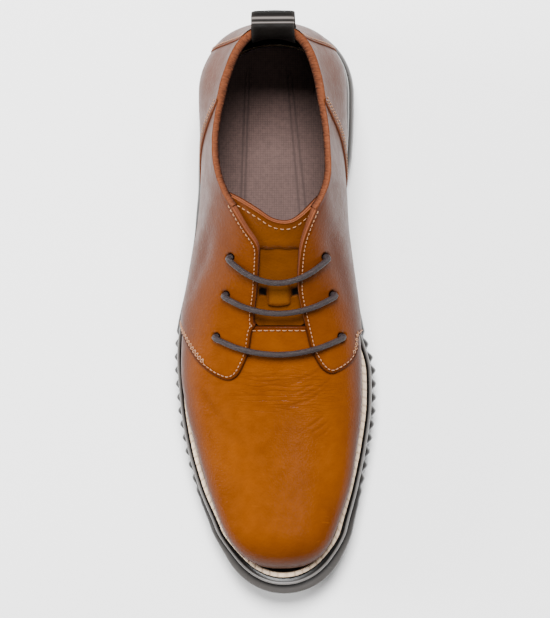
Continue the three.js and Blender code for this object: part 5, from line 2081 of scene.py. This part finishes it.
    def foot_edge(self, side: float, y: Array, inset: float) -> Array:
        """X of the upper's foot on one side, moved in by a distance."""
        toe_tip = self.last.toe_tip + inset
        lift = np.zeros_like(y)
        middle, _ = self.last.section(y, lift)
        at = self.sole.share(y)
        half = LAST_PLAN.read("half", at) * self.sizes.width * LAST_PLAN.read("tuck", at) - inset
        last = self.last
        toe = rounded(y - toe_tip, last.toe_reach * self.sizes.length - inset, last.toe_power)
        heel_reach = last.heel_reach * self.sizes.length - inset
        heel = rounded(last.back(lift) - inset - y, heel_reach, last.heel_power)
        return middle + side * half * toe * heel

    def _welt(self) -> None:
        """Strip with a groove for each stitch: high powers of a sine along its seam."""
        rings = [self.welt_ring(back, rise) for back, rise, *_ in self.welt_rows]
        data = self.lofted(rings)
        size = len(rings[0])
        seam = self.welt_ring(1.5, 1.0)
        notch = np.abs(np.sin(np.pi * run_along(seam) / self.welt_pitch)) ** 12
        front = ramp((0.5 - self.sole.share(seam[:, 1])) / 0.02)
        share, edge, dark = np.array(self.welt_rows).T[2:]
        drop = (share[:, None] * (notch * front)[None]).ravel()
        data.points[:, 2] -= self.notch_depth * drop
        # the notches get painted shade, and so do the gaps beside the welt
        data.values = {"edge": np.repeat(edge, size), "crease": drop, "dark": np.repeat(dark, size)}
        publish("welt_strip_piece", data, self.finishes[Finish.WELT], "welt_strip", "welt")

    def _footbed(self) -> None:
        """Footbed with a cupped rim and two pairs of pressed lines."""
        rows, columns = self.footbed_grid
        inset = self.sizes.wall + self.footbed_gap
        t = self.stations(rows)
        y = mix(self.last.toe_tip + inset, float(self.last.back(np.array(0.0))) - inset, t)[:, None]
        left = self.foot_edge(Side.OUTER.value, y, inset)
        right = self.foot_edge(Side.INNER.value, y, inset)
        x = mix(left, right, np.linspace(0, 1, columns))
        yy = y + np.zeros_like(x)
        rim = np.minimum(np.minimum(x - left, right - x), np.minimum(yy - y[0], y[-1] - yy))
        heel = ramp((self.sole.share(yy) - 0.7) / 0.15)
        cup = -1.3 * heel * ramp(rim / 16.0) - 0.8 * (1 - ramp(rim / 1.2))
        # line: painted shade in the pressed lines, which also sink into the cloth
        line = np.zeros_like(x)
        for place, slope in self.pressed:
            away = x - place - slope * (yy - self.pressed_at)
            line = np.maximum(line, np.exp(-((away / 0.5) ** 2)))
        line = line * ramp((128.0 - yy) / 8.0) * ramp((yy + 40.0) / 10.0)
        z = self.sole.foot(yy) + self.sizes.footbed + cup - 0.4 * line
        top = np.stack([x, yy, z], axis=-1).reshape(-1, 3)
        ends = np.hstack([left, right])
        flat = np.zeros_like(ends)
        low = np.stack([ends, y + flat, self.sole.foot(y) + 0.05 + flat], axis=-1)
        points = np.vstack([top, low.reshape(-1, 3)])
        size = rows * columns
        i = np.arange(rows - 1)
        near, far = size + 2 * i, size + 2 * i + 1
        under = np.stack([near, near + 2, far + 2, far], axis=1)
        side_a = np.stack([i * columns, (i + 1) * columns, near + 2, near], axis=1)
        side_b = np.stack([(i + 1) * columns - 1, far, far + 2, (i + 2) * columns - 1], axis=1)
        faces = np.vstack([grid_faces(rows, columns), under, side_a, side_b])
        data = MeshData(points, faces, {"line": np.concatenate([line.ravel(), np.zeros(2 * rows)])})
        publish("footbed", data, self.finishes[Finish.FOOTBED], "footbed_cloth", "insole")


@dataclass
class Studio:
    """Floor, lights and camera, which stands where the photo was taken from."""

    eye: Triple = (56.5, -28.7, 1100.0)
    aim: Triple = (1.5, -1.0, 45.0)
    lens: float = 119.0
    floor_size: float = 12.0
    floor_grey: float = 0.96
    sky: float = 0.22
    # name, place in metres, size in metres and power in watts
    lights: tuple[tuple[str, Triple, float, float], ...] = (
        ("key", (0.05, 0.85, 2.0), 0.8, 160.0),
        ("outer_side", (-1.5, 0.1, 0.55), 0.8, 34.0),
        ("inner_side", (1.5, 0.2, 0.6), 0.5, 2.0),
        ("toe_side", (0.35, -0.75, 1.6), 0.55, 3.5),
    )

    def build(self) -> None:
        """Makes floor, world, lights and camera."""
        bpy.ops.mesh.primitive_plane_add(size=self.floor_size, location=(0, 0, 0))
        floor = bpy.context.object
        floor.name = "studio_floor"
        material = bpy.data.materials.new("studio_white")
        material.use_nodes = True
        shader = material.node_tree.nodes["Principled BSDF"]
        grey = self.floor_grey
        shader.inputs["Base Color"].default_value = (grey, grey, grey, 1.0)
        shader.inputs["Roughness"].default_value = 0.9
        floor.data.materials.append(material)
        world = bpy.data.worlds.new("studio")
        bpy.context.scene.world = world
        world.use_nodes = True
        background = world.node_tree.nodes["Background"]
        background.inputs[0].default_value = (1.0, 1.0, 1.0, 1.0)
        background.inputs[1].default_value = self.sky
        for row in self.lights:
            self._light(*row)
        camera = bpy.data.objects.new("camera", bpy.data.cameras.new("camera"))
        bpy.context.scene.collection.objects.link(camera)
        camera.data.lens = self.lens
        camera.data.sensor_width = 36.0
        camera.location = Vector(self.eye) * MM
        look = (Vector(self.aim) - Vector(self.eye)).normalized()
        right = look.cross(Vector((0, 1, 0))).normalized()
        up = right.cross(look)
        matrix = [[right[i], up[i], -look[i]] for i in range(3)]
        camera.rotation_mode = "QUATERNION"
        camera.rotation_quaternion = Matrix(matrix).to_quaternion()
        camera.data.clip_start = 0.05
        camera.data.clip_end = 20.0
        bpy.context.scene.camera = camera

    @staticmethod
    def _light(name: str, place: Triple, size: float, power: float) -> None:
        """Adds a soft square light that faces the boot."""
        light = bpy.data.lights.new(name, "AREA")
        light.size = size
        light.energy = power
        obj = bpy.data.objects.new(name, light)
        bpy.context.scene.collection.objects.link(obj)
        obj.location = place
        obj.rotation_mode = "QUATERNION"
        obj.rotation_quaternion = (Vector((0, 0, 0.03)) - Vector(place)).to_track_quat("-Z", "Y")


def main() -> None:
    """Builds the boot and its studio in order."""
    logging.basicConfig(level=logging.INFO, format="%(message)s")
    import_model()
    sizes = Sizes()
    sole = Sole(sizes)
    last = Last(sizes, sole)
    finishes = make_finishes()
    parts = [
        SoleUnit(sizes, last, finishes),
        UpperLeather(sizes, last, finishes),
        TongueSet(sizes, last, finishes),
        Laces(sizes, last, finishes),
        PullLoop(sizes, last, finishes),
    ]
    sewn = MeshData(np.zeros((0, 3)), np.zeros((0, 4), dtype=int))
    for part in parts:
        part.build()
        for row in part.sewn:
            sewn = sewn.joined(row)
    sewn.values = {"line": np.zeros(len(sewn.points))}
    publish("stitching", sewn, finishes[Finish.THREAD], "welt_strip")
    Studio().build()


if __name__ == "__main__":
    main()
